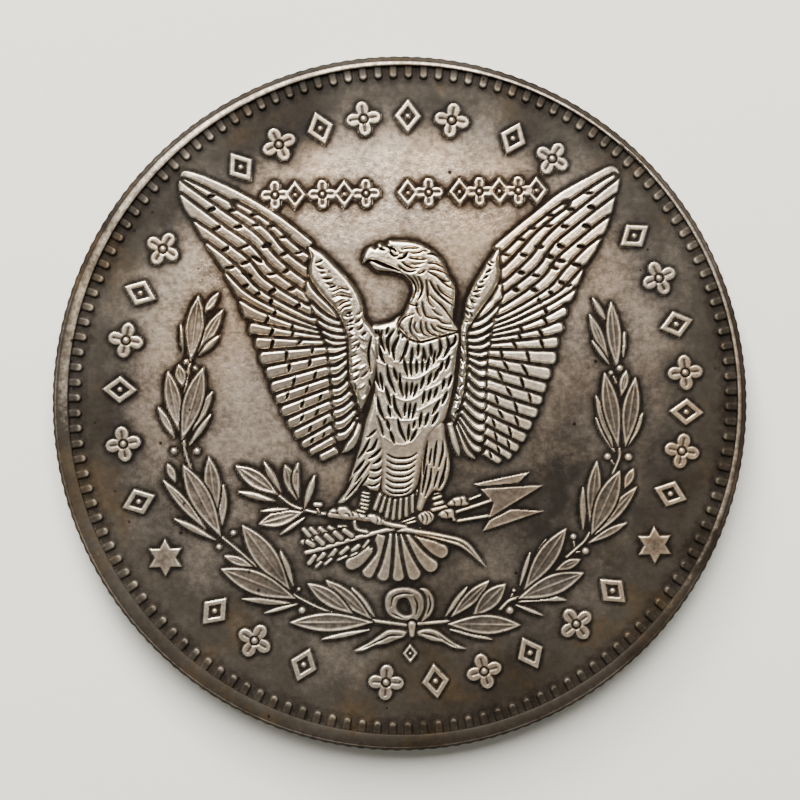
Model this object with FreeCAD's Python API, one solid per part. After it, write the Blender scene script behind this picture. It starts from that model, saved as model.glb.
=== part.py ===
import FreeCAD, Part
import os
from math import atan2, cos, degrees, hypot, pi, radians, sin

# Struck medal of silver-dollar size: an eagle with spread wings on the front, a plain star
# device on the back. Millimetres, +Z up out of the front, origin at the middle of the
# underside. Every outline on a face is given in face coordinates: X right and Y up with
# the face upright, measured from the middle of the ring of border beads.

# Driving dimensions
diameter = 38.1
thickness = 2.4
rim_inner_radius = 18.33        # where the flat of the rim drops to the field
strike_shift = 0.17             # the dies sit this far off centre, along X and along Y
field_depth = 0.32              # rim above the field, on both faces
shoulder_radius = 0.22          # rounding between the flat of the rim and the edge
reed_count = 180
reed_depth = 0.12
bead_count = 135
bead_length = 0.66
bead_width = 0.45

# Heights above the field, all of them below the rim
bead_height = 0.26
head_height = 0.29
breast_height = 0.26
arm_height = 0.25
covert_height = 0.20
feather_height = 0.15
leg_height = 0.21
tail_height = 0.16
branch_height = 0.14
arrow_height = 0.13
leaf_height = 0.12
berry_height = 0.15
bow_height = 0.14
star_height = 0.13
ornament_height = 0.12
back_relief_height = 0.16

ornament_size = 1.8             # height of one ornament in the outer ring
small_ornament_size = 1.35      # height of one ornament in the row above the head
star_radius = 0.95
back_star_radius = 6.6
back_ring_radius = 10.2
back_small_star_radius = 0.95
back_small_star_circle = 14.4
back_small_star_count = 12

front_field = thickness - field_depth
back_field = field_depth
outer_radius = diameter / 2
UP = FreeCAD.Vector(0, 0, 1)

# Wing feathers: tip x, tip y, root x, root y, width near the tip, width at the root
left_flight_feathers = [
    (-11.45, 12.00, -5.25, 7.80, 0.34, 0.30), (-11.95, 12.00, -5.30, 7.10, 0.42, 0.34),
    (-11.75, 10.85, -5.30, 6.45, 0.46, 0.34), (-11.05, 9.45, -5.25, 5.75, 0.42, 0.34),
    (-10.40, 8.30, -5.10, 5.10, 0.46, 0.28), (-9.45, 6.70, -4.95, 4.75, 0.30, 0.14),
    (-9.00, 6.10, -4.85, 4.42, 0.34, 0.12), (-8.55, 4.95, -4.80, 4.05, 0.44, 0.10),
    (-8.20, 3.90, -4.75, 3.60, 0.46, 0.16), (-7.90, 3.18, -4.40, 3.25, 0.48, 0.18),
    (-7.68, 2.29, -4.30, 2.72, 0.50, 0.24), (-7.35, 1.47, -4.28, 2.12, 0.48, 0.28),
    (-7.10, 0.67, -4.22, 1.58, 0.40, 0.28), (-6.88, 0.04, -4.18, 0.95, 0.36, 0.30),
    (-6.60, -0.68, -4.12, 0.32, 0.42, 0.28), (-6.24, -1.36, -4.06, -0.32, 0.34, 0.26),
    (-5.90, -1.97, -4.03, -0.98, 0.38, 0.26), (-5.48, -2.53, -4.00, -1.62, 0.28, 0.24),
    (-5.08, -2.90, -3.96, -2.22, 0.18, 0.16),
]
right_flight_feathers = [
    (11.35, 11.80, 5.45, 7.55, 0.34, 0.30), (11.85, 11.70, 5.50, 6.90, 0.42, 0.34),
    (11.75, 10.55, 5.50, 6.30, 0.46, 0.34), (11.30, 9.30, 5.50, 5.70, 0.42, 0.34),
    (10.75, 8.20, 5.40, 5.15, 0.46, 0.28), (9.80, 6.75, 5.30, 4.72, 0.30, 0.14),
    (9.70, 6.30, 5.20, 4.30, 0.34, 0.12), (9.35, 5.40, 5.15, 3.92, 0.40, 0.12),
    (8.90, 4.52, 5.10, 3.54, 0.44, 0.16), (8.70, 3.66, 5.08, 3.15, 0.44, 0.20),
    (8.38, 2.85, 5.06, 2.72, 0.46, 0.24), (8.22, 1.95, 5.00, 2.18, 0.46, 0.26),
    (7.88, 1.08, 4.95, 1.62, 0.40, 0.28), (7.62, 0.32, 4.88, 1.02, 0.36, 0.28),
    (7.40, -0.28, 4.82, 0.45, 0.36, 0.26), (7.10, -0.95, 4.76, -0.15, 0.42, 0.26),
    (6.75, -1.66, 4.68, -0.78, 0.36, 0.26), (6.40, -2.30, 4.62, -1.40, 0.36, 0.26),
    (6.05, -2.85, 4.54, -2.00, 0.30, 0.24), (5.60, -3.25, 4.48, -2.55, 0.20, 0.18),
]
# Covert feathers, which overlap the roots of the flight feathers: the same six numbers
left_coverts = [
    (-4.95, 6.45, -3.55, 4.55, 0.50, 0.20), (-4.78, 5.30, -3.35, 4.15, 0.38, 0.16),
    (-4.55, 4.50, -3.25, 3.78, 0.34, 0.16), (-4.35, 3.88, -3.15, 3.42, 0.26, 0.14),
    (-4.22, 3.35, -3.15, 3.08, 0.24, 0.18), (-4.10, 2.85, -3.12, 2.80, 0.30, 0.20),
    (-4.05, 2.28, -3.10, 2.42, 0.36, 0.24), (-4.00, 1.70, -3.10, 1.98, 0.36, 0.26),
    (-3.98, 1.12, -3.12, 1.45, 0.38, 0.28), (-3.95, 0.50, -3.15, 0.90, 0.38, 0.28),
    (-3.90, -0.10, -3.15, 0.32, 0.36, 0.28), (-3.86, -0.70, -3.15, -0.25, 0.36, 0.28),
    (-3.82, -1.30, -3.14, -0.85, 0.36, 0.26), (-3.80, -1.90, -3.14, -1.42, 0.34, 0.24),
    (-3.72, -2.50, -3.14, -2.00, 0.30, 0.22), (-3.40, -2.98, -3.05, -2.50, 0.24, 0.16),
]
right_coverts = [
    (5.15, 6.10, 4.25, 4.55, 0.50, 0.20), (5.05, 5.05, 3.95, 4.05, 0.38, 0.16),
    (4.95, 4.25, 3.80, 3.62, 0.34, 0.16), (4.92, 3.60, 3.75, 3.20, 0.28, 0.16),
    (4.90, 3.02, 3.75, 2.82, 0.28, 0.20), (4.85, 2.45, 3.70, 2.42, 0.32, 0.24),
    (4.80, 1.85, 3.68, 1.98, 0.36, 0.26), (4.74, 1.25, 3.66, 1.50, 0.36, 0.26),
    (4.66, 0.65, 3.64, 0.98, 0.38, 0.28), (4.60, 0.05, 3.62, 0.45, 0.36, 0.28),
    (4.52, -0.55, 3.60, -0.10, 0.36, 0.28), (4.44, -1.15, 3.55, -0.65, 0.36, 0.26),
    (4.34, -1.78, 3.48, -1.20, 0.36, 0.24), (4.20, -2.40, 3.40, -1.75, 0.34, 0.22),
    (3.92, -2.98, 3.22, -2.20, 0.30, 0.20), (3.45, -3.30, 2.98, -2.50, 0.26, 0.16),
]
left_arm_outline = [
    (-11.95, 12.45), (-10.5, 12.20), (-8.7, 11.25), (-6.5, 9.85), (-5.0, 8.70), (-3.5, 7.30),
    (-2.43, 5.95), (-2.10, 4.80), (-1.72, 3.97), (-1.68, 2.4), (-1.75, 1.0), (-2.40, -0.60),
    (-2.95, 0.9), (-3.02, 3.20), (-3.25, 3.95), (-3.75, 5.05), (-4.55, 6.15), (-5.08, 7.10),
    (-5.10, 8.0), (-6.2, 9.05), (-7.9, 10.30), (-9.9, 11.45),
]
right_arm_outline = [
    (11.9, 12.28), (10.67, 11.91), (9.07, 11.03), (7.0, 9.48), (5.6, 8.47), (4.53, 7.19),
    (3.80, 5.95), (3.36, 4.70), (3.10, 3.70), (3.05, 2.4), (2.85, 0.9), (2.70, -0.90),
    (3.35, 0.6), (3.55, 2.20), (3.62, 3.60), (3.95, 4.35), (4.95, 5.65), (5.42, 6.70),
    (5.40, 7.7), (6.5, 8.75), (8.3, 10.00), (10.2, 11.30),
]

head_outline = [
    (-2.09, 7.47), (-2.09, 7.87), (-1.63, 8.35), (-0.94, 8.45), (-0.62, 8.72), (0.5, 8.64),
    (1.57, 8.19), (2.26, 7.55), (2.58, 6.70), (2.93, 5.73), (2.82, 4.60), (2.92, 3.72),
    (1.83, 3.33), (0.23, 3.23), (-0.30, 4.10), (0.20, 4.95), (0.58, 5.75), (0.34, 6.59),
    (-0.51, 6.90), (-1.47, 7.17), (-1.75, 7.50),
]
breast_outline = [
    (-0.38, 4.12), (-1.2, 4.08), (-1.60, 3.60), (-1.60, 2.0), (-1.45, 0.6), (-1.50, -0.7),
    (-1.10, -2.1), (-0.90, -3.4), (-1.15, -4.9), (-0.40, -5.15), (0.40, -4.9), (0.68, -3.6),
    (0.90, -2.3), (2.0, -1.2), (2.60, 0.5), (2.95, 2.4), (2.98, 3.55), (1.83, 3.23),
    (0.18, 3.13),
]
left_thigh_outline = [
    (-1.62, 0.2), (-2.1, -0.9), (-2.3, -2.0), (-3.0, -4.1), (-3.6, -5.5), (-2.8, -5.15),
    (-2.2, -5.0), (-1.60, -5.2), (-1.3, -4.2), (-1.02, -3.3), (-1.22, -2.05),
]
right_thigh_outline = [
    (1.05, -2.35), (0.85, -3.4), (0.80, -4.3), (0.75, -5.3), (0.68, -6.0), (1.2, -5.5),
    (1.9, -5.1), (2.4, -4.0), (2.4, -3.2), (2.15, -1.8),
]
# Shanks and toes, as strips: width, then the points along the middle
left_shank_and_toes = [
    (0.42, (-2.20, -4.9), (-2.45, -6.2)), (0.34, (-3.55, -6.25), (-2.5, -6.30), (-1.7, -6.5)),
]
right_shank_and_toes = [
    (0.42, (1.60, -5.2), (1.75, -6.3)), (0.34, (1.00, -6.50), (1.8, -6.40), (2.4, -6.35)),
]

# Straight bars, each with a rounded tip: tip x, tip y, root x, root y, tip and root width
tail_feathers = [
    (-2.85, -9.05, -1.95, -7.1, 0.60, 0.35), (-2.15, -9.45, -1.50, -7.2, 0.55, 0.35),
    (-1.40, -9.65, -1.05, -7.25, 0.55, 0.38), (-0.60, -9.75, -0.55, -7.35, 0.60, 0.40),
    (0.25, -9.65, -0.05, -7.45, 0.58, 0.40), (1.05, -9.30, 0.45, -7.55, 0.55, 0.38),
    (1.72, -8.65, 0.95, -7.65, 0.55, 0.34),
]
rump_feathers = [
    (-1.30, -5.35, -1.20, -6.45, 0.36, 0.36), (-0.80, -5.35, -0.75, -6.65, 0.36, 0.36),
    (-0.30, -5.45, -0.28, -6.75, 0.36, 0.36), (0.20, -5.35, 0.20, -6.90, 0.36, 0.36),
]

# Leaves: tip x, tip y, base x, base y, greatest width, sideways bow of the middle
olive_leaves = [
    (-9.30, -3.50, -7.05, -5.10, 0.80, 0.0), (-7.75, -3.30, -6.85, -5.00, 0.30, 0.0),
    (-6.60, -3.50, -6.00, -5.40, 0.60, 0.0), (-5.90, -3.40, -5.90, -5.30, 0.35, 0.2),
    (-5.00, -4.10, -5.60, -5.90, 0.30, 0.0), (-9.20, -4.90, -7.20, -5.45, 0.30, 0.0),
    (-8.10, -6.70, -5.70, -6.10, 0.75, 0.0), (-8.00, -6.00, -6.50, -5.90, 0.14, 0.0),
    (-6.95, -7.30, -5.60, -6.40, 0.16, 0.0),
]
left_wreath_leaves = [
    (-11.15, 5.85, -11.65, 2.30, 0.85, 0.0), (-10.05, 6.00, -10.85, 4.90, 0.35, 0.0),
    (-9.85, 5.05, -11.20, 2.80, 0.55, 0.0), (-10.05, 3.65, -11.20, 2.60, 0.30, 0.0),
    (-12.15, 4.30, -12.05, 2.80, 0.14, 0.0), (-12.90, 1.75, -12.35, -1.50, 0.75, 0.0),
    (-12.30, 2.10, -12.10, 0.90, 0.50, 0.0), (-10.98, 1.90, -12.20, -2.00, 0.95, 0.0),
    (-10.50, 0.60, -11.60, -1.50, 0.40, 0.0), (-10.60, -0.65, -11.80, -2.30, 0.25, 0.0),
    (-13.45, -0.20, -12.60, -1.90, 0.35, 0.0), (-13.00, -3.30, -12.60, -4.30, 0.35, 0.0),
    (-13.25, -4.20, -11.00, -6.90, 0.45, 0.0), (-12.15, -3.40, -10.20, -7.30, 1.00, 0.0),
    (-10.75, -3.00, -10.40, -6.00, 0.75, 0.0), (-10.00, -4.50, -10.10, -6.70, 0.40, 0.0),
    (-12.70, -6.30, -10.50, -7.50, 0.30, 0.0), (-9.00, -6.75, -6.50, -10.30, 1.10, 0.0),
    (-7.80, -7.45, -6.50, -10.20, 0.30, 0.0), (-6.95, -8.20, -6.30, -10.10, 0.30, 0.0),
    (-10.00, -8.40, -8.50, -9.00, 0.40, 0.0), (-10.20, -9.10, -6.20, -10.80, 1.10, 0.0),
    (-9.10, -10.75, -6.30, -11.10, 0.30, 0.0), (-7.90, -11.55, -6.10, -11.10, 0.16, 0.0),
    (-5.50, -10.00, -3.10, -11.70, 0.75, 0.0), (-4.50, -9.85, -2.10, -12.00, 0.70, 0.0),
    (-3.10, -10.30, -1.90, -11.90, 0.30, 0.0), (-6.50, -12.10, -2.00, -12.20, 0.90, 0.0),
    (-4.80, -13.05, -2.20, -12.60, 0.20, 0.0),
]
right_wreath_leaves = [
    (11.50, 5.05, 11.75, 1.45, 0.70, 0.0), (10.50, 5.30, 11.20, 4.00, 0.25, 0.0),
    (10.30, 4.40, 11.25, 2.00, 0.45, 0.0), (10.40, 2.95, 11.30, 1.65, 0.16, 0.0),
    (12.20, 3.40, 12.10, 2.00, 0.16, 0.0), (11.05, 1.15, 11.70, -2.90, 0.80, 0.0),
    (12.25, 1.25, 11.95, -0.10, 0.40, 0.0), (12.75, 0.85, 12.10, -2.90, 0.80, 0.0),
    (10.55, -0.10, 11.40, -2.90, 0.40, 0.0), (10.50, -1.30, 11.50, -3.20, 0.26, 0.0),
    (13.10, -1.10, 12.20, -2.90, 0.35, 0.0), (10.50, -3.70, 10.05, -7.00, 0.65, 0.0),
    (11.75, -4.25, 10.10, -7.70, 1.00, 0.0), (12.50, -4.15, 12.00, -5.20, 0.40, 0.0),
    (12.65, -5.15, 10.30, -7.70, 0.60, 0.0), (12.05, -7.10, 9.95, -8.15, 0.35, 0.0),
    (9.70, -5.10, 9.65, -7.40, 0.30, 0.0), (8.70, -7.35, 6.35, -10.60, 0.95, 0.0),
    (7.60, -7.90, 6.50, -10.00, 0.26, 0.0), (6.70, -8.60, 6.10, -10.40, 0.16, 0.0),
    (9.45, -9.05, 8.10, -9.60, 0.45, 0.0), (9.60, -9.80, 6.00, -11.10, 1.00, 0.0),
    (8.60, -11.25, 6.00, -11.30, 0.35, 0.2), (7.30, -12.05, 5.85, -11.45, 0.14, 0.0),
    (5.30, -10.30, 3.50, -12.00, 0.85, 0.0), (4.40, -10.10, 2.30, -12.00, 0.60, 0.0),
    (3.20, -10.40, 2.00, -11.95, 0.26, 0.0), (6.05, -12.55, 2.10, -12.40, 0.95, 0.0),
    (4.50, -13.30, 2.20, -12.70, 0.20, 0.0),
]
# Stems: width, then the points along the middle
olive_stems = [
    (0.22, (-7.10, -5.10), (-5.60, -6.00), (-4.10, -6.30), (-2.90, -6.45), (-0.50, -7.00)),
    (0.40, (-0.50, -7.00), (2.0, -7.45), (3.0, -7.75), (3.5, -8.20), (3.9, -8.80)),
]
left_wreath_stems = [
    (0.14, (-11.65, 2.40), (-12.00, 0.5), (-12.10, -2.20), (-11.75, -3.60), (-11.3, -5.2)),
    (0.14, (-10.20, -7.30), (-9.15, -8.20), (-8.30, -9.0)),
    (0.14, (-6.30, -10.60), (-5.00, -11.30), (-3.5, -11.9)),
    (0.20, (-2.10, -12.10), (-0.20, -12.40)),
]
right_wreath_stems = [
    (0.14, (11.75, 1.60), (11.85, -0.5), (11.75, -3.50), (11.35, -4.35), (11.1, -5.4)),
    (0.14, (10.00, -7.50), (9.30, -8.40), (8.5, -9.1)),
    (0.14, (6.00, -11.05), (5.10, -11.60), (4.0, -12.1)),
    (0.20, (2.10, -12.20), (0.50, -12.35)),
]
# Berries: x, y, radius
left_berries = [
    (-11.90, 2.25, 0.17), (-11.40, 1.90, 0.15), (-12.65, -2.60, 0.20), (-11.40, -2.65, 0.20),
    (-9.50, -7.15, 0.17), (-10.30, -7.90, 0.17), (-6.00, -10.30, 0.12), (-5.85, -11.45, 0.20),
]
right_berries = [
    (11.90, 1.40, 0.18), (11.40, 1.15, 0.14), (11.10, -3.45, 0.20), (12.25, -3.50, 0.22),
    (9.10, -7.80, 0.17), (9.75, -8.60, 0.20), (5.75, -10.65, 0.12), (5.50, -11.75, 0.22),
]
arrow_heads = [
    [(3.65, -4.78), (6.80, -4.18), (6.15, -4.78), (4.05, -4.92)],
    [(4.05, -5.05), (7.55, -4.92), (4.45, -6.70), (4.75, -5.85)],
    [(4.50, -6.80), (5.75, -6.20), (7.50, -6.35), (4.10, -7.40)],
]
arrow_shafts = [
    (0.22, (2.30, -5.75), (4.20, -5.20)), (0.22, (2.50, -6.25), (4.75, -5.72)),
    (0.20, (2.60, -6.68), (4.60, -6.60)), (0.20, (-5.50, -8.30), (-2.00, -7.40)),
    (0.16, (-5.70, -7.20), (-3.40, -7.00)), (0.16, (-5.40, -8.80), (-2.80, -8.20)),
]
bow_loops = [
    [(-0.1, -12.2), (-1.0, -12.0), (-1.35, -11.3), (-0.7, -10.45), (0.30, -10.50), (0.30, -12.1)],
    [(0.45, -12.15), (0.45, -10.5), (1.3, -10.8), (1.4, -11.3), (1.1, -11.8)],
]
bow_tails = [
    (0.34, (-0.10, -12.80), (-1.20, -12.85), (-1.90, -13.15), (-3.00, -13.60)),
    (0.34, (0.40, -12.70), (1.40, -13.00), (2.20, -13.60), (3.00, -13.80)),
]
bow_knot = (0.12, -12.55, 0.42)

# Ornaments in place of lettering: the middle of each, on three stretches of the outer ring
ornament_circle = 15.55
upper_ornament_angles = [
    200, 188, 177, 167, 157, 147, 124, 115, 106, 97, 88, 79, 66, 57, 34, 24, 14, 4, -4,
    -12, -21,
]
lower_ornament_angles = [227, 237, 248, 265, 275, 285, 295, 306, 316]
motto_places = [-6.85, -5.75, -4.25, -3.05, -1.85, 0.45, 1.60, 3.30, 4.40, 5.50, 6.55, 7.55]
motto_height = 11.3


def front(x, y):
    """A point on the front, from face coordinates, at the level of the front field."""
    return FreeCAD.Vector(x + strike_shift, y + strike_shift, front_field)


def raised(wire, height):
    """A closed flat outline, standing up from its own plane."""
    return Part.Face(wire).extrude(UP * height)


def smooth_plate(points, height):
    """A raised area of the front with a smooth closed outline."""
    curve = Part.BSplineCurve()
    curve.interpolate(Points=[front(x, y) for x, y in points], PeriodicFlag=True)
    return raised(Part.Wire(curve.toShape()), height)


def cornered_plate(points, height):
    """A raised area of the front with straight sides."""
    corners = [front(x, y) for x, y in points]
    return raised(Part.makePolygon(corners + corners[:1]), height)


def leaf(tip_x, tip_y, base_x, base_y, width, bow, height=leaf_height):
    """A pointed leaf between two arcs; bow moves its middle sideways."""
    tip, base = front(tip_x, tip_y), front(base_x, base_y)
    across = (base - tip).normalize().cross(UP)
    middle = (tip + base) * 0.5 + across * bow
    one_side = Part.Arc(tip, middle + across * (width / 2), base).toShape()
    other_side = Part.Arc(base, middle - across * (width / 2), tip).toShape()
    return raised(Part.Wire([one_side, other_side]), height)


def bar(tip_x, tip_y, root_x, root_y, tip_width, root_width, height):
    """A feather: straight sides, square root and a rounded tip."""
    tip, root = front(tip_x, tip_y), front(root_x, root_y)
    along = (tip - root).normalize()
    across = along.cross(UP)
    shoulder = tip - along * (tip_width / 2)
    tip_left, tip_right = (shoulder + across * (side * tip_width / 2) for side in (1, -1))
    root_left, root_right = (root + across * (side * root_width / 2) for side in (1, -1))
    return raised(Part.Wire([
        Part.makeLine(root_left, tip_left), Part.Arc(tip_left, tip, tip_right).toShape(),
        Part.makeLine(tip_right, root_right), Part.makeLine(root_right, root_left)]), height)


def stem(width, *points, height=leaf_height):
    """A strip of even width along straight runs, round at its ends and bends."""
    pieces = [Part.makeCylinder(width / 2, height, front(x, y), UP) for x, y in points]
    for (x0, y0), (x1, y1) in zip(points, points[1:]):
        run = Part.makeBox(hypot(x1 - x0, y1 - y0), width, height)
        run.translate(FreeCAD.Vector(0, -width / 2, 0))
        run.rotate(FreeCAD.Vector(0, 0, 0), UP, degrees(atan2(y1 - y0, x1 - x0)))
        run.translate(front(x0, y0))
        pieces.append(run)
    return joined(pieces)


def berry(x, y, radius):
    return Part.makeCylinder(radius, berry_height, front(x, y), UP)


def joined(pieces):
    """One shape from pieces that touch or overlap."""
    return pieces[0].multiFuse(pieces[1:]).removeSplitter() if len(pieces) > 1 else pieces[0]


def star_wire(centre, radius, points, inner_share, turn=90):
    """A star's outline, with one point at the angle turn."""
    corners = []
    for step in range(2 * points):
        reach = radius if step % 2 == 0 else radius * inner_share
        angle = radians(turn) + pi * step / points
        corners.append(centre + FreeCAD.Vector(cos(angle), sin(angle), 0) * reach)
    return Part.makePolygon(corners + corners[:1])


def lozenge(x, y, turn, size):
    """An upright open lozenge with a round boss in it."""
    outer = star_wire(front(x, y), size / 2, 2, 0.78, turn)
    inner = star_wire(front(x, y), size / 2 * 0.56, 2, 0.78, turn)
    frame = raised(outer, ornament_height).cut(raised(inner, ornament_height))
    boss = Part.makeCylinder(size * 0.09, ornament_height, front(x, y), UP)
    return Part.Compound([frame, boss])


def floret(x, y, turn, size):
    """Four leaves round a boss."""
    petals = []
    for quarter in range(4):
        angle = radians(turn + 90 * quarter)
        tip_x, tip_y = x + size / 2 * cos(angle), y + size / 2 * sin(angle)
        petals.append(leaf(tip_x, tip_y, x, y, size * 0.26, 0, ornament_height))
    return joined(petals + [Part.makeCylinder(size * 0.12, ornament_height, front(x, y), UP)])


def ornament_arc(angles):
    """Lozenges and florets in turn, upright along the outer ring."""
    shapes = []
    for number, angle in enumerate(angles):
        x, y = ornament_circle * cos(radians(angle)), ornament_circle * sin(radians(angle))
        make = lozenge if number % 2 == 0 else floret
        shapes.append(make(x, y, angle, ornament_size))
    return Part.Compound(shapes)


def motto_row():
    shapes = []
    for number, x in enumerate(motto_places):
        make = floret if number % 2 == 0 else lozenge
        shapes.append(make(x, motto_height, 90, small_ornament_size))
    return Part.Compound(shapes)


def beads(level, height):
    """The ring of border beads: short radial bars with rounded inner ends."""
    outer, half = rim_inner_radius, bead_width / 2
    inner = outer - bead_length
    line = [FreeCAD.Vector(radius, side, 0) for radius, side in
            ((outer - 0.02, half), (inner + half, half), (inner, 0), (inner + half, -half),
             (outer - 0.02, -half))]
    wire = Part.Wire([
        Part.makeLine(line[0], line[1]), Part.Arc(line[1], line[2], line[3]).toShape(),
        Part.makeLine(line[3], line[4]), Part.makeLine(line[4], line[0])])
    bead = raised(wire, height)
    ring = []
    for number in range(bead_count):
        one = bead.copy()
        one.rotate(FreeCAD.Vector(0, 0, 0), UP, 360 * number / bead_count)
        one.translate(FreeCAD.Vector(strike_shift, strike_shift, level))
        ring.append(one)
    return Part.Compound(ring)


def planchet():
    """The disc between the two fields, out to where the rim starts."""
    disc = Part.makeCylinder(rim_inner_radius, front_field - back_field)
    disc.translate(FreeCAD.Vector(strike_shift, strike_shift, back_field))
    return disc


def reeded_rim():
    """The raised border with its rounded shoulders and reeded edge."""
    profile = [
        FreeCAD.Vector(rim_inner_radius - 1, 0, 0),
        FreeCAD.Vector(outer_radius - shoulder_radius, 0, 0),
        FreeCAD.Vector(outer_radius, 0, shoulder_radius),
        FreeCAD.Vector(outer_radius, 0, thickness - shoulder_radius),
        FreeCAD.Vector(outer_radius - shoulder_radius, 0, thickness),
        FreeCAD.Vector(rim_inner_radius - 1, 0, thickness)]
    bulge = shoulder_radius * (1 - cos(pi / 4))
    low = FreeCAD.Vector(outer_radius - bulge, 0, bulge)
    high = FreeCAD.Vector(outer_radius - bulge, 0, thickness - bulge)
    section = Part.Wire([
        Part.makeLine(profile[0], profile[1]), Part.Arc(profile[1], low, profile[2]).toShape(),
        Part.makeLine(profile[2], profile[3]), Part.Arc(profile[3], high, profile[4]).toShape(),
        Part.makeLine(profile[4], profile[5]), Part.makeLine(profile[5], profile[0])])
    ring = Part.Face(section).revolve(FreeCAD.Vector(0, 0, 0), UP, 360)
    reeds = Part.Wire(reed_edges())
    ring = ring.common(raised(reeds, thickness))
    bore = Part.makeCylinder(rim_inner_radius, thickness)
    bore.translate(FreeCAD.Vector(strike_shift, strike_shift, 0))
    return ring.cut(bore)


def reed_edges():
    """The edge in plan: a crown for each reed, and a round groove between two."""
    edges = []
    step = 2 * pi / reed_count

    def on_edge(radius, turns):
        return FreeCAD.Vector(radius * cos(turns * step), radius * sin(turns * step), 0)

    for reed in range(reed_count):
        crown_start, crown_end = on_edge(outer_radius, reed), on_edge(outer_radius, reed + 0.5)
        crown_top = on_edge(outer_radius, reed + 0.25)
        groove = on_edge(outer_radius - reed_depth, reed + 0.75)
        edges.append(Part.Arc(crown_start, crown_top, crown_end).toShape())
        edges.append(Part.Arc(crown_end, groove, on_edge(outer_radius, reed + 1)).toShape())
    return edges


def leg(thigh_outline, strips):
    """A feathered thigh with its bare shank and toes."""
    pieces = [smooth_plate(thigh_outline, leg_height)]
    pieces += [stem(*row, height=leg_height) for row in strips]
    return joined(pieces)


def feathers(rows, height):
    return Part.Compound([bar(*row, height) for row in rows])


def wreath(leaves, stems, berries):
    pieces = [leaf(*row) for row in leaves]
    pieces += [stem(*row) for row in stems]
    pieces += [berry(*row) for row in berries]
    return joined(pieces)


def olive_branch(leg_shapes):
    pieces = [leaf(*row, height=branch_height) for row in olive_leaves]
    pieces += [stem(*row, height=branch_height) for row in olive_stems]
    return joined(pieces).cut(Part.Compound(leg_shapes))


def arrow_bundle(leg_shapes):
    pieces = [cornered_plate(points, arrow_height) for points in arrow_heads]
    pieces += [stem(*row, height=arrow_height) for row in arrow_shafts]
    return joined(pieces).cut(Part.Compound(leg_shapes))


def bow():
    pieces = [smooth_plate(points, bow_height) for points in bow_loops]
    pieces += [stem(*row, height=bow_height) for row in bow_tails]
    x, y, radius = bow_knot
    pieces.append(Part.makeCylinder(radius, bow_height, front(x, y), UP))
    return joined(pieces)


def star(x, y):
    return raised(star_wire(front(x, y), star_radius, 6, 0.56), star_height)


def back_device():
    """A large five-pointed star in a thin ring, hanging below the back field."""
    centre = FreeCAD.Vector(strike_shift, strike_shift, back_field - back_relief_height)
    big_star = raised(star_wire(centre, back_star_radius, 5, 0.42), back_relief_height)
    outside = Part.makeCylinder(back_ring_radius + 0.25, back_relief_height, centre, UP)
    inside = Part.makeCylinder(back_ring_radius - 0.25, back_relief_height, centre, UP)
    return Part.Compound([big_star, outside.cut(inside)])


def back_small_stars():
    shapes = []
    for number in range(back_small_star_count):
        angle = 2 * pi * number / back_small_star_count
        centre = FreeCAD.Vector(strike_shift + back_small_star_circle * cos(angle),
                                strike_shift + back_small_star_circle * sin(angle),
                                back_field - back_relief_height)
        wire = star_wire(centre, back_small_star_radius, 5, 0.42, degrees(angle))
        shapes.append(raised(wire, back_relief_height))
    return Part.Compound(shapes)


def build_parts():
    head = smooth_plate(head_outline, head_height)
    breast = smooth_plate(breast_outline, breast_height).cut(head)
    left_leg = leg(left_thigh_outline, left_shank_and_toes).cut(breast)
    right_leg = leg(right_thigh_outline, right_shank_and_toes).cut(breast)
    trunk = [head, breast, left_leg, right_leg]
    left_arm = smooth_plate(left_arm_outline, arm_height).cut(Part.Compound(trunk))
    right_arm = smooth_plate(right_arm_outline, arm_height).cut(Part.Compound(trunk))
    left_covert_row = feathers(left_coverts, covert_height).cut(left_arm)
    right_covert_row = feathers(right_coverts, covert_height).cut(right_arm)
    left_flight = feathers(left_flight_feathers, feather_height)
    right_flight = feathers(right_flight_feathers, feather_height)
    branch = olive_branch(trunk)
    tail = feathers(tail_feathers + rump_feathers, tail_height)
    bow_shape = bow()
    return {
        "planchet": planchet(),
        "reeded_rim": reeded_rim(),
        "front_border_beads": beads(front_field, bead_height),
        "eagle_head": head,
        "eagle_breast": breast,
        "eagle_left_leg": left_leg,
        "eagle_right_leg": right_leg,
        "eagle_tail": tail.cut(Part.Compound(trunk)).cut(branch),
        "left_wing_arm": left_arm,
        "left_wing_coverts": left_covert_row,
        "left_wing_flight_feathers": left_flight.cut(left_covert_row).cut(left_arm),
        "right_wing_arm": right_arm,
        "right_wing_coverts": right_covert_row,
        "right_wing_flight_feathers": right_flight.cut(right_covert_row).cut(right_arm),
        "olive_branch": branch,
        "arrow_bundle": arrow_bundle(trunk).cut(branch).cut(tail),
        "left_wreath": wreath(left_wreath_leaves, left_wreath_stems, left_berries).cut(bow_shape),
        "right_wreath": wreath(right_wreath_leaves, right_wreath_stems,
                               right_berries).cut(bow_shape),
        "wreath_bow": bow_shape,
        "left_star": star(-13.23, -8.41),
        "right_star": star(13.56, -8.36),
        "upper_ornament_ring": ornament_arc(upper_ornament_angles),
        "lower_ornament_ring": ornament_arc(lower_ornament_angles),
        "motto_row_ornaments": motto_row(),
        "back_border_beads": beads(back_field - bead_height, bead_height),
        "back_star_and_ring": back_device(),
        "back_small_stars": back_small_stars(),
    }


os.makedirs("parts", exist_ok=True)
for node, shape in build_parts().items():
    print(f"{node:28s} solids {len(shape.Solids):3d}  volume {shape.Volume:9.3f}  "
          f"valid {shape.isValid()}")
    shape.exportStep(f"parts/{node}.step")
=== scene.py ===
from math import cos, degrees, hypot, pi, radians, sin

import bpy
import numpy as np
from mathutils import Matrix, Vector


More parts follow.
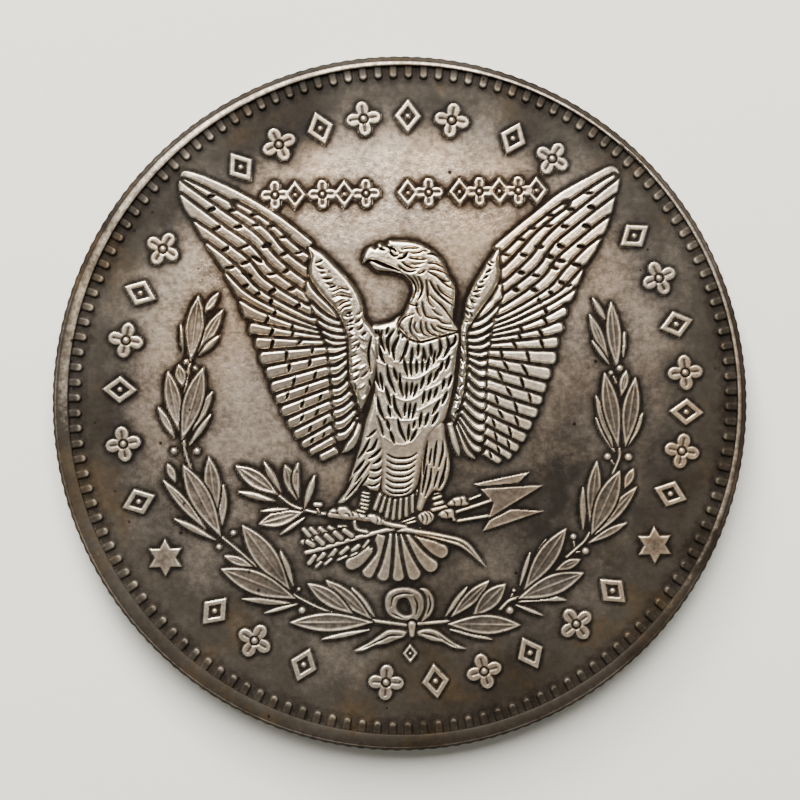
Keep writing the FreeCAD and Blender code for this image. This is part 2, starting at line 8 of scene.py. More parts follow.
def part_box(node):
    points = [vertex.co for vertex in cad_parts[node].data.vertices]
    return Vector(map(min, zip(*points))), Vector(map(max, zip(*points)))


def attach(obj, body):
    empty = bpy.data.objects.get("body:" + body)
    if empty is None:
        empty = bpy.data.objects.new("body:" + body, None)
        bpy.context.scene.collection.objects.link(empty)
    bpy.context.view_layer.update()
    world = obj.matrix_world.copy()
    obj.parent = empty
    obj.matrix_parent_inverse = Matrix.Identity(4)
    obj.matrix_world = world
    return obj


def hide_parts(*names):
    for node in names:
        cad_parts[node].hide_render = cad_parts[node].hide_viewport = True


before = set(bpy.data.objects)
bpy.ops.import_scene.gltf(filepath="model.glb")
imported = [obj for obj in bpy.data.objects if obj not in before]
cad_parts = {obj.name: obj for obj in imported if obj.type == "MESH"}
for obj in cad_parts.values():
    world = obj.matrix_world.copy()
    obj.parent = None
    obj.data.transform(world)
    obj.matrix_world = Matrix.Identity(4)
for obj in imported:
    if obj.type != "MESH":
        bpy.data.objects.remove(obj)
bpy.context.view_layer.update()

# Everything on a face is drawn in millimetres, X right and Y up with the face upright, from
# the middle of the ring of border beads. The frame says where that is and how large it is.
MM = 0.001
DRAWN_BEAD_RING = 18.31         # outer radius of the bead ring in the drawing
DRAWN_RIM_INNER = 18.33
BEAD_LOW, BEAD_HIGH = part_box("front_border_beads")
RIM_LOW, RIM_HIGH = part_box("reeded_rim")
PLANCHET_LOW, PLANCHET_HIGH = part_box("planchet")
CENTRE_X = (BEAD_LOW.x + BEAD_HIGH.x) / 2
CENTRE_Y = (BEAD_LOW.y + BEAD_HIGH.y) / 2
SCALE = (BEAD_HIGH.x - BEAD_LOW.x) / 2 / MM / DRAWN_BEAD_RING
FRONT_LEVEL = PLANCHET_HIGH.z
BACK_LEVEL = PLANCHET_LOW.z
OUTER_RADIUS = (RIM_HIGH.x - RIM_LOW.x) / 2
RIM_STEP = (RIM_HIGH.z - FRONT_LEVEL) / MM

# The face is drawn on a square grid of heights
PITCH = 0.04
REACH = 19.2
CELLS = int(round(2 * REACH / PITCH))
AXIS = -REACH + PITCH * np.arange(CELLS + 1)
BURIED = -0.06                  # how far a piece goes on below the field round its outline
WALL_SLOPE = 2.0                # fall of the walls per millimetre outside an outline
FIELD_PITCH = 0.1               # the bare fields are made on a coarser grid

# Heights above the field
HEAD_HEIGHT = 0.29
BREAST_HEIGHT = 0.24
ARM_HEIGHT = 0.25
COVERT_HEIGHT = 0.20
FEATHER_HEIGHT = 0.16
LEG_HEIGHT = 0.21
TAIL_HEIGHT = 0.15
BRANCH_HEIGHT = 0.15
ARROW_HEIGHT = 0.14
LEAF_HEIGHT = 0.14
BERRY_HEIGHT = 0.17
BOW_HEIGHT = 0.15
STAR_HEIGHT = 0.13
ORNAMENT_HEIGHT = 0.13
BEAD_HEIGHT = 0.24
BACK_STAR_HEIGHT = 0.16
BACK_RELIEF_HEIGHT = 0.14
BREAK_FLOOR = 0.02              # what a break across a feather leaves standing


# ---- drawing on the grid of heights -------------------------------------------------------

def blank():
    return np.full((CELLS + 1, CELLS + 1), BURIED, np.float32)


def window(points, margin):
    """The part of the grid round some points: its slices and its coordinates."""
    xs, ys = [p[0] for p in points], [p[1] for p in points]
    x0, x1 = (int(np.searchsorted(AXIS, v)) for v in (min(xs) - margin, max(xs) + margin))
    y0, y1 = (int(np.searchsorted(AXIS, v)) for v in (min(ys) - margin, max(ys) + margin))
    grid_x, grid_y = np.meshgrid(AXIS[x0:x1], AXIS[y0:y1])
    return (slice(y0, y1), slice(x0, x1)), grid_x, grid_y


def curve_through(points, closed=False, steps=6):
    """A smooth line through a few points (Catmull-Rom)."""
    if len(points) == 2:
        return list(points)
    p = np.array(points, float)
    if closed:
        p = np.vstack([p[-1:], p, p[:2]])
    else:
        p = np.vstack([2 * p[:1] - p[1:2], p, 2 * p[-1:] - p[-2:-1]])
    share = (np.arange(steps) / steps)[:, None]
    out = []
    for a, b, c, d in zip(p, p[1:], p[2:], p[3:]):
        out.append(0.5 * (2 * b + (c - a) * share + (2 * a - 5 * b + 4 * c - d) * share ** 2
                          + (3 * b - a - 3 * c + d) * share ** 3))
    line = np.vstack(out)
    if not closed:
        line = np.vstack([line, p[-2:-1]])
    return [tuple(q) for q in line]


def along(grid_x, grid_y, line):
    """For each grid point: the share of the way along a line, the distance from it, the side."""
    nearest = np.full(grid_x.shape, 1e9)
    share, side = np.zeros(grid_x.shape), np.zeros(grid_x.shape)
    passed = 0.0
    for (x0, y0), (x1, y1) in zip(line, line[1:]):
        dx, dy = x1 - x0, y1 - y0
        run = hypot(dx, dy)
        if run < 1e-9:
            continue
        at = np.clip(((grid_x - x0) * dx + (grid_y - y0) * dy) / run ** 2, 0, 1)
        off_x, off_y = grid_x - x0 - at * dx, grid_y - y0 - at * dy
        square = off_x ** 2 + off_y ** 2
        closer = square < nearest
        nearest = np.where(closer, square, nearest)
        share = np.where(closer, passed + at * run, share)
        side = np.where(closer, np.sign(dx * off_y - dy * off_x), side)
        passed += run
    return share / passed, np.sqrt(nearest), side


def inside_distance(grid_x, grid_y, corners):
    """Distance from a closed outline, positive inside it."""
    nearest = np.full(grid_x.shape, 1e9)
    inside = np.zeros(grid_x.shape, bool)
    for (x0, y0), (x1, y1) in zip(corners, corners[1:] + corners[:1]):
        dx, dy = x1 - x0, y1 - y0
        square = dx * dx + dy * dy
        if square < 1e-12:
            continue
        at = np.clip(((grid_x - x0) * dx + (grid_y - y0) * dy) / square, 0, 1)
        gap = (grid_x - x0 - at * dx) ** 2 + (grid_y - y0 - at * dy) ** 2
        nearest = np.minimum(nearest, gap)
        if dy:
            crosses = ((y0 > grid_y) != (y1 > grid_y)) & (grid_x < x0 + (grid_y - y0) * dx / dy)
            inside ^= crosses
    return np.where(inside, 1, -1) * np.sqrt(nearest)


def rounded(edge, bevel):
    """0 to 1 from an outline inwards, round like a worn edge, and 0 outside it."""
    inner = np.clip(edge / bevel, 0, 1)
    return np.sqrt(1 - (1 - inner) ** 2)


def lay(canvas, place, edge, height, gap=0.0):
    """Lays one form on a canvas. With a gap, it first presses a groove round its outline."""
    here = canvas[place]
    if gap:
        trench = np.clip(height * 0.25 - (edge + gap) * 1.5, 0.02, None)
        here = np.where((edge > -gap) & (edge < 0), np.minimum(here, trench), here)
    form = np.where(edge > 0, height, np.maximum(edge * WALL_SLOPE, BURIED))
    if gap:
        here = np.where(edge > 0, form, here)
    canvas[place] = np.maximum(here, form)


def leaf(canvas, tip_x, tip_y, base_x, base_y, width, bow=0.0, height=LEAF_HEIGHT):
    """A long leaf: raised edges, a midrib, hollow halves, and a solid tip."""
    length = hypot(base_x - tip_x, base_y - tip_y)
    across_x, across_y = (base_y - tip_y) / length, -(base_x - tip_x) / length
    middle = ((tip_x + base_x) / 2 + across_x * bow, (tip_y + base_y) / 2 + across_y * bow)
    line = curve_through([(tip_x, tip_y), middle, (base_x, base_y)])
    place, grid_x, grid_y = window(line, width / 2 + 0.25)
    share, off, side = along(grid_x, grid_y, line)
    half = width * 0.54 * np.sin(pi * np.clip(share, 0, 1) ** 0.9)
    edge = half + 0.045 - off
    if width < 0.33:
        form = height * rounded(edge, max(width / 2, 0.08))
    else:
        rail = 0.85 * np.exp(-((edge - 0.10) / 0.08) ** 2)
        midrib = 0.85 * np.exp(-(off / 0.055) ** 2) * np.clip(1.25 - share, 0, 1)
        solid = np.clip(1 - share * length / 0.45, 0, 1)
        lit = 0.16 * (side > 0) * np.clip(1 - off / half.clip(0.05), 0, 1)
        detail = np.maximum(np.maximum(np.maximum(rail, midrib), solid), lit)
        form = height * rounded(edge, 0.08) * (0.62 + 0.38 * detail)
    lay(canvas, place, edge, form, gap=0.06)


def stem(canvas, width, *points, height=LEAF_HEIGHT, end_width=None):
    """A round twig."""
    line = curve_through(points)
    place, grid_x, grid_y = window(line, width / 2 + 0.25)
    share, off, _ = along(grid_x, grid_y, line)
    half = width / 2 if end_width is None else (width + (end_width - width) * share) / 2
    edge = half - off
    lay(canvas, place, edge, height * rounded(edge, np.maximum(half * 0.7, 0.03)), gap=0.05)


def berry(canvas, x, y, radius, height=BERRY_HEIGHT):
    place, grid_x, grid_y = window([(x, y)], radius + 0.25)
    edge = radius - np.hypot(grid_x - x, grid_y - y)
    lay(canvas, place, edge, height * rounded(edge, radius), gap=0.06)


def packed(canvas, rows, height, groove_width, bevel=0.10, tip=0.7, lean=0.10, outline=None):
    """Feathers lying side by side: flat plates with narrow grooves between them.

    Each row is the line from tip to root, half the greatest width, and how the tip ends:
    pointed, cut off by the outline, or from round to square. A pointed one tapers over the
    length tip. Lean raises one long edge above the other.
    """
    lines = [curve_through(row[0]) for row in rows]
    place, grid_x, grid_y = window([point for line in lines for point in line], 0.5)
    nearest = np.full(grid_x.shape, 9.0)
    second = nearest.copy()
    within = inside_distance(grid_x, grid_y, outline) if outline else nearest
    limit, slope = np.zeros(grid_x.shape), np.zeros(grid_x.shape)
    for line, (_, reach, square) in zip(lines, rows):
        share, off, side = along(grid_x, grid_y, line)
        length = sum(hypot(b[0] - a[0], b[1] - a[1]) for a, b in zip(line, line[1:]))
        if square == OUTLINED:
            allowed = np.minimum(2 * reach - off, within)
        elif square < ROUND:
            allowed = reach * np.clip(share * length / tip + 0.05, 0, 1) ** 0.55 - off
        else:
            dx, dy = line[1][0] - line[0][0], line[1][1] - line[0][1]
            past_tip = ((grid_x - line[0][0]) * dx + (grid_y - line[0][1]) * dy) / hypot(dx, dy)
            corner = reach * min(1, 1.9 - 1.4 * square)
            allowed = corner - np.hypot(np.clip(corner - reach + off, 0, None),
                                        np.clip(corner - past_tip, 0, None))
        dx, dy = line[-1][0] - line[-2][0], line[-1][1] - line[-2][1]
        past_root = ((line[-1][0] - grid_x) * dx + (line[-1][1] - grid_y) * dy) / hypot(dx, dy)
        allowed = np.minimum(allowed, past_root + 0.05)
        closer = off < nearest
        second = np.where(closer, nearest, np.minimum(second, off))
        limit = np.where(closer, allowed, limit)
        slope = np.where(closer, side * off / reach, slope)
        nearest = np.where(closer, off, nearest)
    between = (second - nearest - groove_width) / 2
    edge = -np.log(np.exp(-30 * between) + np.exp(-30 * limit)) / 30
    form = height * rounded(edge, bevel) * (1 + lean * slope)
    lay(canvas, place, edge, form)


def bump(canvas, x, y, width, height):
    """A soft lump on top of a form; a negative height makes a dint."""
    place, grid_x, grid_y = window([(x, y)], width * 2)
    lump = height * np.exp(-((grid_x - x) ** 2 + (grid_y - y) ** 2) / (width * width))
    canvas[place] = np.where(canvas[place] > 0.01, np.maximum(canvas[place] + lump, 0.01),
                             canvas[place])


def ridge(canvas, width, height, *points):
    """A raised line along a form, with tapering ends."""
    line = curve_through(points)
    place, grid_x, grid_y = window(line, width * 2)
    share, off, _ = along(grid_x, grid_y, line)
    half = width / 2 * (0.3 + 0.7 * np.sin(pi * np.clip(share, 0.02, 0.98)))
    lift = height * np.exp(-(off / half) ** 2)
    canvas[place] = np.where(canvas[place] > 0.01, canvas[place] + lift, canvas[place])


def tuck(lower, *uppers):
    """Clears away a form where others lie over it."""
    for upper in uppers:
        covered = blurred((upper > 0.02).astype(float), 0.11) > 0.22
        lower[covered] = BURIED


def groove(canvas, width, depth, *points):
    """A cut with steep sides and tapering ends."""
    line = curve_through(points)
    place, grid_x, grid_y = window(line, width + 0.15)
    share, off, _ = along(grid_x, grid_y, line)
    half = width / 2 * (0.2 + 0.8 * np.sin(pi * np.clip(share, 0.02, 0.98)) ** 0.7)
    cut = np.clip((half + 0.03 - off) / 0.06, 0, 1)
    cut = depth * cut * cut * (3 - 2 * cut)
    canvas[place] = np.where(canvas[place] > 0.01, np.maximum(canvas[place] - cut, 0.01),
                             canvas[place])


def notch(canvas, x, y, angle, length, width):
    """A lens-shaped break across a feather."""
    place, grid_x, grid_y = window([(x, y)], length)
    turn = radians(angle)
    u = (grid_x - x) * cos(turn) + (grid_y - y) * sin(turn)
    v = -(grid_x - x) * sin(turn) + (grid_y - y) * cos(turn)
    out = np.sqrt((u / (length / 2)) ** 2 + (v / (width / 2)) ** 2)
    limit = BREAK_FLOOR + np.clip(out - 0.75, 0, None) * 0.6
    canvas[place] = np.where(canvas[place] > 0, np.minimum(canvas[place], limit), canvas[place])


def plateau(canvas, corners, height, bevel, gap=0.0):
    """A raised area, flat on top, with a worn edge."""
    place, grid_x, grid_y = window(corners, 0.3)
    edge = inside_distance(grid_x, grid_y, corners)
    lay(canvas, place, edge, height * rounded(edge, bevel), gap)


# ---- the drawing --------------------------------------------------------------------------

# How the tip of a feather ends; between ROUND and 1 it gets squarer
POINTED, OUTLINED, ROUND = 0.0, 0.1, 0.5
# Wing feathers: the line from tip to root, half the greatest width, how the tip ends
LEFT_PRIMARIES = [
    ([(-12.12, 12.38), (-11.7, 12.42), (-10.6, 12.02), (-9.0, 11.24), (-7.7, 10.46), (-6.5, 9.62),
      (-5.05, 8.42)], 0.36, POINTED),
    ([(-8.95, 10.8), (-8.1, 10.35), (-7.3, 9.8), (-6.67, 9.2), (-6.17, 8.55), (-5.15, 7.75)],
      0.26, POINTED),
    ([(-11.85, 12.25), (-11.0, 11.75), (-9.7, 10.92), (-8.5, 10.07), (-7.4, 9.17), (-6.8, 8.38),
      (-5.95, 7.55), (-5.1, 6.9)], 0.3, OUTLINED),
    ([(-12.2, 12.35), (-11.2, 11.42), (-9.65, 10.15), (-8.1, 9.05), (-7.0, 7.75), (-6.0, 6.85),
      (-5.15, 6.2)], 0.36, OUTLINED),
    ([(-12.0, 11.05), (-11.0, 10.32), (-9.3, 9.02), (-8.2, 8.18), (-7.5, 7.2), (-6.55, 6.45),
      (-5.1, 5.52)], 0.38, OUTLINED),
    ([(-11.25, 9.6), (-10.4, 9.05), (-9.1, 8.05), (-8.3, 7.35), (-7.65, 6.52), (-6.4, 5.65),
      (-4.98, 4.85)], 0.3, OUTLINED),
    ([(-10.65, 8.5), (-9.9, 7.9), (-9.0, 6.95), (-8.3, 6.17), (-7.55, 5.67), (-6.0, 4.82),
      (-4.8, 4.22)], 0.34, OUTLINED),
    ([(-9.62, 6.8), (-8.95, 6.12), (-8.1, 5.55), (-7.1, 5.02), (-5.9, 4.45), (-4.72, 3.97)],
      0.27, OUTLINED),
    ([(-8.8, 5.25), (-8.2, 4.85), (-7.3, 4.48), (-6.1, 4.12), (-4.62, 3.72)], 0.29, OUTLINED),
]
LEFT_SECONDARIES = [
    ([(-8.45, 4.02), (-4.52, 3.46)], 0.35, 0.8), ([(-8.12, 3.22), (-4.4, 3.18)], 0.36, 0.8),
    ([(-7.88, 2.32), (-4.26, 2.78)], 0.4, 0.8), ([(-7.55, 1.5), (-4.2, 2.22)], 0.38, 0.8),
    ([(-7.3, 0.7), (-4.14, 1.6)], 0.34, 0.8), ([(-7.05, 0.06), (-4.1, 1.0)], 0.3, 0.8),
    ([(-6.76, -0.64), (-4.06, 0.36)], 0.34, 0.8), ([(-6.42, -1.32), (-4.04, -0.26)], 0.31, 0.8),
    ([(-6.06, -1.94), (-4.02, -0.92)], 0.32, 0.8), ([(-5.66, -2.5), (-4.0, -1.58)], 0.29, 0.8),
    ([(-5.26, -2.88), (-3.92, -2.18)], 0.26, 0.8), ([(-4.72, -3.18), (-3.8, -2.75)], 0.24, 0.8),
]
RIGHT_PRIMARIES = [
    ([(12.12, 12.18), (11.7, 12.24), (10.7, 11.75), (9.0, 10.84), (7.7, 9.86), (6.6, 9.02),
      (5.35, 8.0)], 0.36, POINTED),
    ([(9.1, 10.45), (8.45, 10.05), (7.7, 9.5), (6.9, 8.9), (6.2, 8.2), (5.45, 7.45)],
      0.26, POINTED),
    ([(11.85, 12.05), (11.1, 11.58), (9.9, 10.67), (8.75, 9.8), (7.65, 8.83), (7.05, 8.05),
      (6.3, 7.3), (5.48, 6.55)], 0.3, OUTLINED),
    ([(12.15, 11.7), (11.3, 10.98), (9.8, 9.85), (8.35, 8.7), (7.3, 7.38), (6.25, 6.48),
      (5.45, 5.88)], 0.36, OUTLINED),
    ([(11.9, 10.55), (11.0, 9.95), (9.5, 8.78), (8.5, 7.98), (7.8, 6.95), (6.8, 6.12), (5.4, 5.2)],
      0.38, OUTLINED),
    ([(11.5, 9.4), (10.7, 8.85), (9.35, 7.75), (8.6, 7.15), (7.9, 6.25), (6.7, 5.35),
      (5.25, 4.52)], 0.3, OUTLINED),
    ([(10.95, 8.32), (10.2, 7.78), (9.3, 6.68), (8.55, 5.83), (7.8, 5.38), (6.3, 4.64),
      (5.1, 4.14)], 0.34, OUTLINED),
    ([(9.98, 6.62), (9.3, 6.0), (8.35, 5.38), (7.3, 4.86), (6.1, 4.24), (5.0, 3.84)],
      0.27, OUTLINED),
    ([(9.56, 5.62), (8.85, 5.2), (7.9, 4.66), (6.4, 4.04), (4.95, 3.6)], 0.28, OUTLINED),
]
RIGHT_SECONDARIES = [
    ([(9.05, 4.72), (7.9, 4.14), (6.6, 3.7), (4.92, 3.36)], 0.34, 0.6),
    ([(8.85, 3.78), (7.4, 3.42), (4.85, 3.12)], 0.33, 0.7),
    ([(8.55, 2.93), (4.75, 2.8)], 0.36, 0.8), ([(8.42, 2.02), (4.68, 2.42)], 0.4, 0.8),
    ([(8.08, 1.12), (6.1, 1.56), (4.64, 1.92)], 0.37, 0.8),
    ([(7.8, 0.34), (5.9, 0.94), (4.6, 1.38)], 0.34, 0.8),
    ([(7.58, -0.32), (5.9, 0.2), (4.56, 0.68)], 0.32, 0.7),
    ([(7.3, -1.0), (5.6, -0.44), (4.53, 0.04)], 0.34, 0.8),
    ([(6.95, -1.7), (5.6, -1.14), (4.5, -0.6)], 0.32, 0.8),
    ([(6.6, -2.38), (5.3, -1.72), (4.47, -1.24)], 0.33, 0.8),
    ([(6.2, -2.96), (5.2, -2.36), (4.44, -1.88)], 0.3, 0.7),
    ([(5.8, -3.38), (4.42, -2.5)], 0.27, 0.7), ([(5.22, -3.6), (4.38, -3.02)], 0.22, 0.7),
]
# The smooth outer edges the long feathers end at, closed well inside the wing
LEFT_OUTLINE = [
    (-11.84, 12.52), (-12.1, 12.34), (-12.19, 11.98), (-12.1, 11.47), (-11.97, 11.0),
    (-11.8, 10.57), (-11.5, 10.14), (-11.2, 9.6), (-10.9, 9.01), (-10.58, 8.45), (-10.22, 7.94),
    (-9.82, 7.29), (-9.56, 6.69), (-9.25, 6.16), (-9.0, 5.6), (-8.8, 5.0), (-8.62, 4.4),
    (-5.0, 2.0), (0.0, 8.0), (-5.0, 14.0), (-11.5, 13.2),
]
RIGHT_OUTLINE = [
    (12.04, 12.34), (12.16, 12.15), (12.18, 11.84), (12.08, 11.26), (11.87, 10.68), (11.72, 10.1),
    (11.5, 9.45), (11.32, 9.0), (11.02, 8.44), (10.72, 7.85), (10.35, 7.36), (10.05, 6.86),
    (9.88, 6.4), (9.66, 5.9), (9.48, 5.4), (9.2, 4.95), (5.0, 2.0), (0.0, 8.0), (5.0, 14.0),
    (11.8, 13.2),
]
# Breaks across the feathers: x, y, slant, length, width
LEFT_BREAKS = [
    (-8.05, 10.25, 0, 0.5, 0.15), (-7.1, 9.6, 5, 0.45, 0.17), (-6.35, 9.0, 12, 0.6, 0.17),
    (-5.6, 8.12, 15, 0.5, 0.15), (-10.35, 11.32, 15, 0.5, 0.2), (-9.2, 10.52, 8, 0.5, 0.2),
    (-7.95, 9.66, 5, 0.45, 0.16), (-7.35, 8.55, 20, 0.55, 0.26), (-6.45, 8.05, 20, 0.45, 0.2),
    (-10.35, 10.58, 20, 0.5, 0.24), (-8.9, 9.6, 10, 0.5, 0.22), (-6.35, 7.12, 30, 0.45, 0.22),
    (-10.1, 9.55, 22, 0.55, 0.2), (-8.6, 8.52, 18, 0.65, 0.17), (-7.9, 7.8, -30, 0.7, 0.22),
    (-6.05, 6.15, 20, 0.5, 0.24), (-7.1, 6.98, 10, 0.5, 0.18), (-9.65, 8.38, 25, 0.55, 0.2),
    (-8.55, 7.62, 20, 0.55, 0.2), (-8.45, 6.95, -20, 0.6, 0.22), (-7.1, 6.05, 28, 0.5, 0.24),
    (-5.75, 5.18, 30, 0.45, 0.2), (-9.4, 7.38, 12, 0.6, 0.2), (-8.6, 6.33, 25, 0.45, 0.2),
    (-7.9, 5.9, 20, 0.35, 0.18), (-7.2, 5.45, 60, 0.4, 0.2), (-7.0, 4.82, 55, 0.3, 0.16),
    (-7.45, 4.42, 62, 0.5, 0.17), (-6.05, 4.05, 60, 0.25, 0.14), (-7.2, 3.76, 62, 0.5, 0.17),
    (-6.05, 3.66, 62, 0.35, 0.14), (-7.18, 3.12, 72, 0.55, 0.17), (-5.68, 3.2, 45, 0.45, 0.17),
    (-6.42, 2.48, 80, 0.55, 0.17), (-4.98, 2.75, 75, 0.45, 0.15), (-6.28, 1.82, 78, 0.55, 0.16),
    (-5.15, 2.05, 75, 0.45, 0.15), (-6.05, 1.02, 72, 0.5, 0.15), (-4.88, 1.35, 72, 0.42, 0.14),
    (-6.42, 0.26, 70, 0.42, 0.14), (-5.35, 0.58, 70, 0.42, 0.14), (-5.62, -0.22, 66, 0.45, 0.15),
    (-4.62, 0.12, 66, 0.4, 0.14), (-5.65, -0.98, 62, 0.42, 0.14), (-4.82, -0.68, 62, 0.4, 0.13),
    (-5.22, -1.58, 60, 0.42, 0.14), (-4.4, -1.2, 60, 0.36, 0.13), (-5.12, -2.22, 58, 0.36, 0.13),
    (-4.48, -1.92, 58, 0.32, 0.12),
]
RIGHT_BREAKS = [
    (8.25, 9.92, 0, 0.5, 0.15), (7.25, 9.22, -5, 0.45, 0.17), (6.6, 8.62, -15, 0.6, 0.17),
    (5.75, 7.78, -12, 0.5, 0.15), (10.45, 11.1, -5, 0.45, 0.16), (9.4, 10.22, -5, 0.45, 0.2),
    (8.15, 9.32, 0, 0.45, 0.16), (7.6, 8.18, -10, 0.5, 0.24), (6.75, 7.75, -15, 0.45, 0.2),
    (10.55, 10.32, -12, 0.45, 0.24), (9.05, 9.28, -8, 0.45, 0.22), (6.58, 6.78, -18, 0.42, 0.22),
    (10.25, 9.28, -12, 0.5, 0.24), (8.8, 8.2, -22, 0.5, 0.24), (8.15, 7.65, -20, 0.6, 0.25),
    (6.25, 5.85, -25, 0.45, 0.24), (7.38, 6.6, -10, 0.5, 0.16), (9.95, 8.15, -10, 0.5, 0.2),
    (8.78, 7.38, -12, 0.5, 0.22), (8.4, 7.02, -25, 0.5, 0.2), (7.28, 5.82, -25, 0.5, 0.24),
    (9.65, 7.15, -15, 0.65, 0.2), (8.8, 6.18, -20, 0.45, 0.2), (9.2, 6.02, 10, 0.3, 0.2),
    (8.22, 5.62, -30, 0.42, 0.18), (7.55, 5.18, -60, 0.4, 0.18), (7.9, 4.62, -58, 0.5, 0.17),
    (7.84, 4.13, -58, 0.63, 0.16), (6.5, 3.7, -60, 0.49, 0.14), (7.58, 3.46, -60, 0.7, 0.17),
    (6.42, 3.28, -60, 0.49, 0.14), (7.62, 2.88, -70, 0.7, 0.16), (6.12, 2.86, -60, 0.59, 0.15),
    (6.85, 2.18, -78, 0.7, 0.16), (5.4, 2.34, -80, 0.53, 0.14), (6.66, 1.43, -62, 0.77, 0.16),
    (5.62, 1.68, -62, 0.59, 0.14), (6.5, 0.74, -75, 0.67, 0.16), (5.3, 1.14, -68, 0.67, 0.15),
    (6.9, -0.12, -78, 0.59, 0.15), (5.76, 0.24, -62, 0.63, 0.15), (6.12, -0.62, -75, 0.67, 0.15),
    (5.07, -0.19, -76, 0.56, 0.14), (6.15, -1.38, -72, 0.63, 0.15), (5.28, -0.99, -64, 0.59, 0.14),
    (5.76, -1.96, -80, 0.63, 0.14), (4.88, -1.48, -76, 0.53, 0.13), (5.66, -2.64, -76, 0.53, 0.13),
    (4.97, -2.2, -78, 0.53, 0.13), (5.1, -2.94, -75, 0.5, 0.12), (4.66, -3.22, -80, 0.42, 0.12),
]
# Feathers behind the arm, given as the wing feathers are
LEFT_COVERTS = [
    ([(-5.18, 6.5), (-5.0, 5.85), (-4.5, 5.3), (-4.0, 4.88), (-3.55, 4.55)], 0.27, 0.3),
    ([(-4.98, 5.22), (-4.58, 4.75), (-4.05, 4.38), (-3.4, 4.18)], 0.18, 0.3),
    ([(-4.66, 4.35), (-4.2, 4.02), (-3.7, 3.86), (-3.2, 3.78)], 0.18, 0.3),
    ([(-4.42, 3.76), (-4.0, 3.53), (-3.6, 3.42), (-3.12, 3.4)], 0.15, 0.3),
    ([(-4.32, 3.32), (-3.9, 3.14), (-3.5, 3.08), (-3.1, 3.12)], 0.14, 0.3),
    ([(-4.2, 2.74), (-3.7, 2.74), (-3.1, 2.88)], 0.17, 0.6),
    ([(-4.14, 2.2), (-3.65, 2.24), (-3.1, 2.52)], 0.2, 0.8),
    ([(-4.08, 1.6), (-3.6, 1.64), (-3.1, 2.08)], 0.24, 0.8),
    ([(-4.04, 1.02), (-3.55, 1.08), (-3.06, 1.56)], 0.24, 0.8),
    ([(-4.0, 0.4), (-3.5, 0.45), (-3.02, 0.92)], 0.24, 0.8),
    ([(-3.97, -0.2), (-3.45, -0.08), (-2.94, 0.36)], 0.24, 0.8),
    ([(-3.94, -0.8), (-3.45, -0.68), (-2.8, -0.2)], 0.24, 0.8),
    ([(-3.88, -1.42), (-3.35, -1.32), (-2.66, -0.72)], 0.25, 0.8),
    ([(-3.78, -2.05), (-3.3, -1.98), (-2.85, -1.52), (-2.58, -1.02)], 0.25, 0.8),
    ([(-3.42, -2.88), (-3.12, -2.62), (-2.84, -2.1), (-2.55, -1.25)], 0.3, 0.3),
]
RIGHT_COVERTS = [
    ([(5.42, 6.15), (5.18, 5.32), (4.66, 4.78), (4.1, 4.38)], 0.27, 0.3),
    ([(5.3, 4.95), (4.9, 4.5), (4.4, 4.12), (3.72, 3.86)], 0.18, 0.3),
    ([(5.06, 4.1), (4.6, 3.75), (4.1, 3.55), (3.6, 3.5)], 0.17, 0.3),
    ([(4.88, 3.5), (4.4, 3.22), (4.0, 3.1), (3.52, 3.12)], 0.15, 0.3),
    ([(4.8, 3.0), (4.4, 2.76), (3.55, 2.74)], 0.14, 0.5),
    ([(4.68, 2.42), (4.2, 2.3), (3.52, 2.42)], 0.15, 0.6),
    ([(4.6, 1.9), (4.2, 1.82), (3.56, 2.12)], 0.18, 0.8),
    ([(4.56, 1.3), (4.12, 1.32), (3.56, 1.78)], 0.22, 0.8),
    ([(4.52, 0.66), (4.06, 0.72), (3.52, 1.28)], 0.24, 0.8),
    ([(4.48, 0.05), (4.0, 0.14), (3.44, 0.72)], 0.24, 0.8),
    ([(4.46, -0.54), (4.0, -0.38), (3.36, 0.22)], 0.24, 0.8),
    ([(4.44, -1.14), (3.95, -1.02), (3.24, -0.34)], 0.24, 0.8),
    ([(4.4, -1.72), (3.82, -1.6), (3.1, -0.78)], 0.24, 0.8),
    ([(4.3, -2.36), (3.7, -2.12), (3.0, -1.15)], 0.24, 0.8),
    ([(4.14, -2.98), (3.58, -2.62), (2.92, -1.35)], 0.22, 0.6),
    ([(3.8, -3.4), (3.38, -2.95), (2.84, -1.55)], 0.22, 0.3),
    ([(2.92, -3.22), (2.76, -2.4), (2.55, -1.4)], 0.27, 0.4),
]
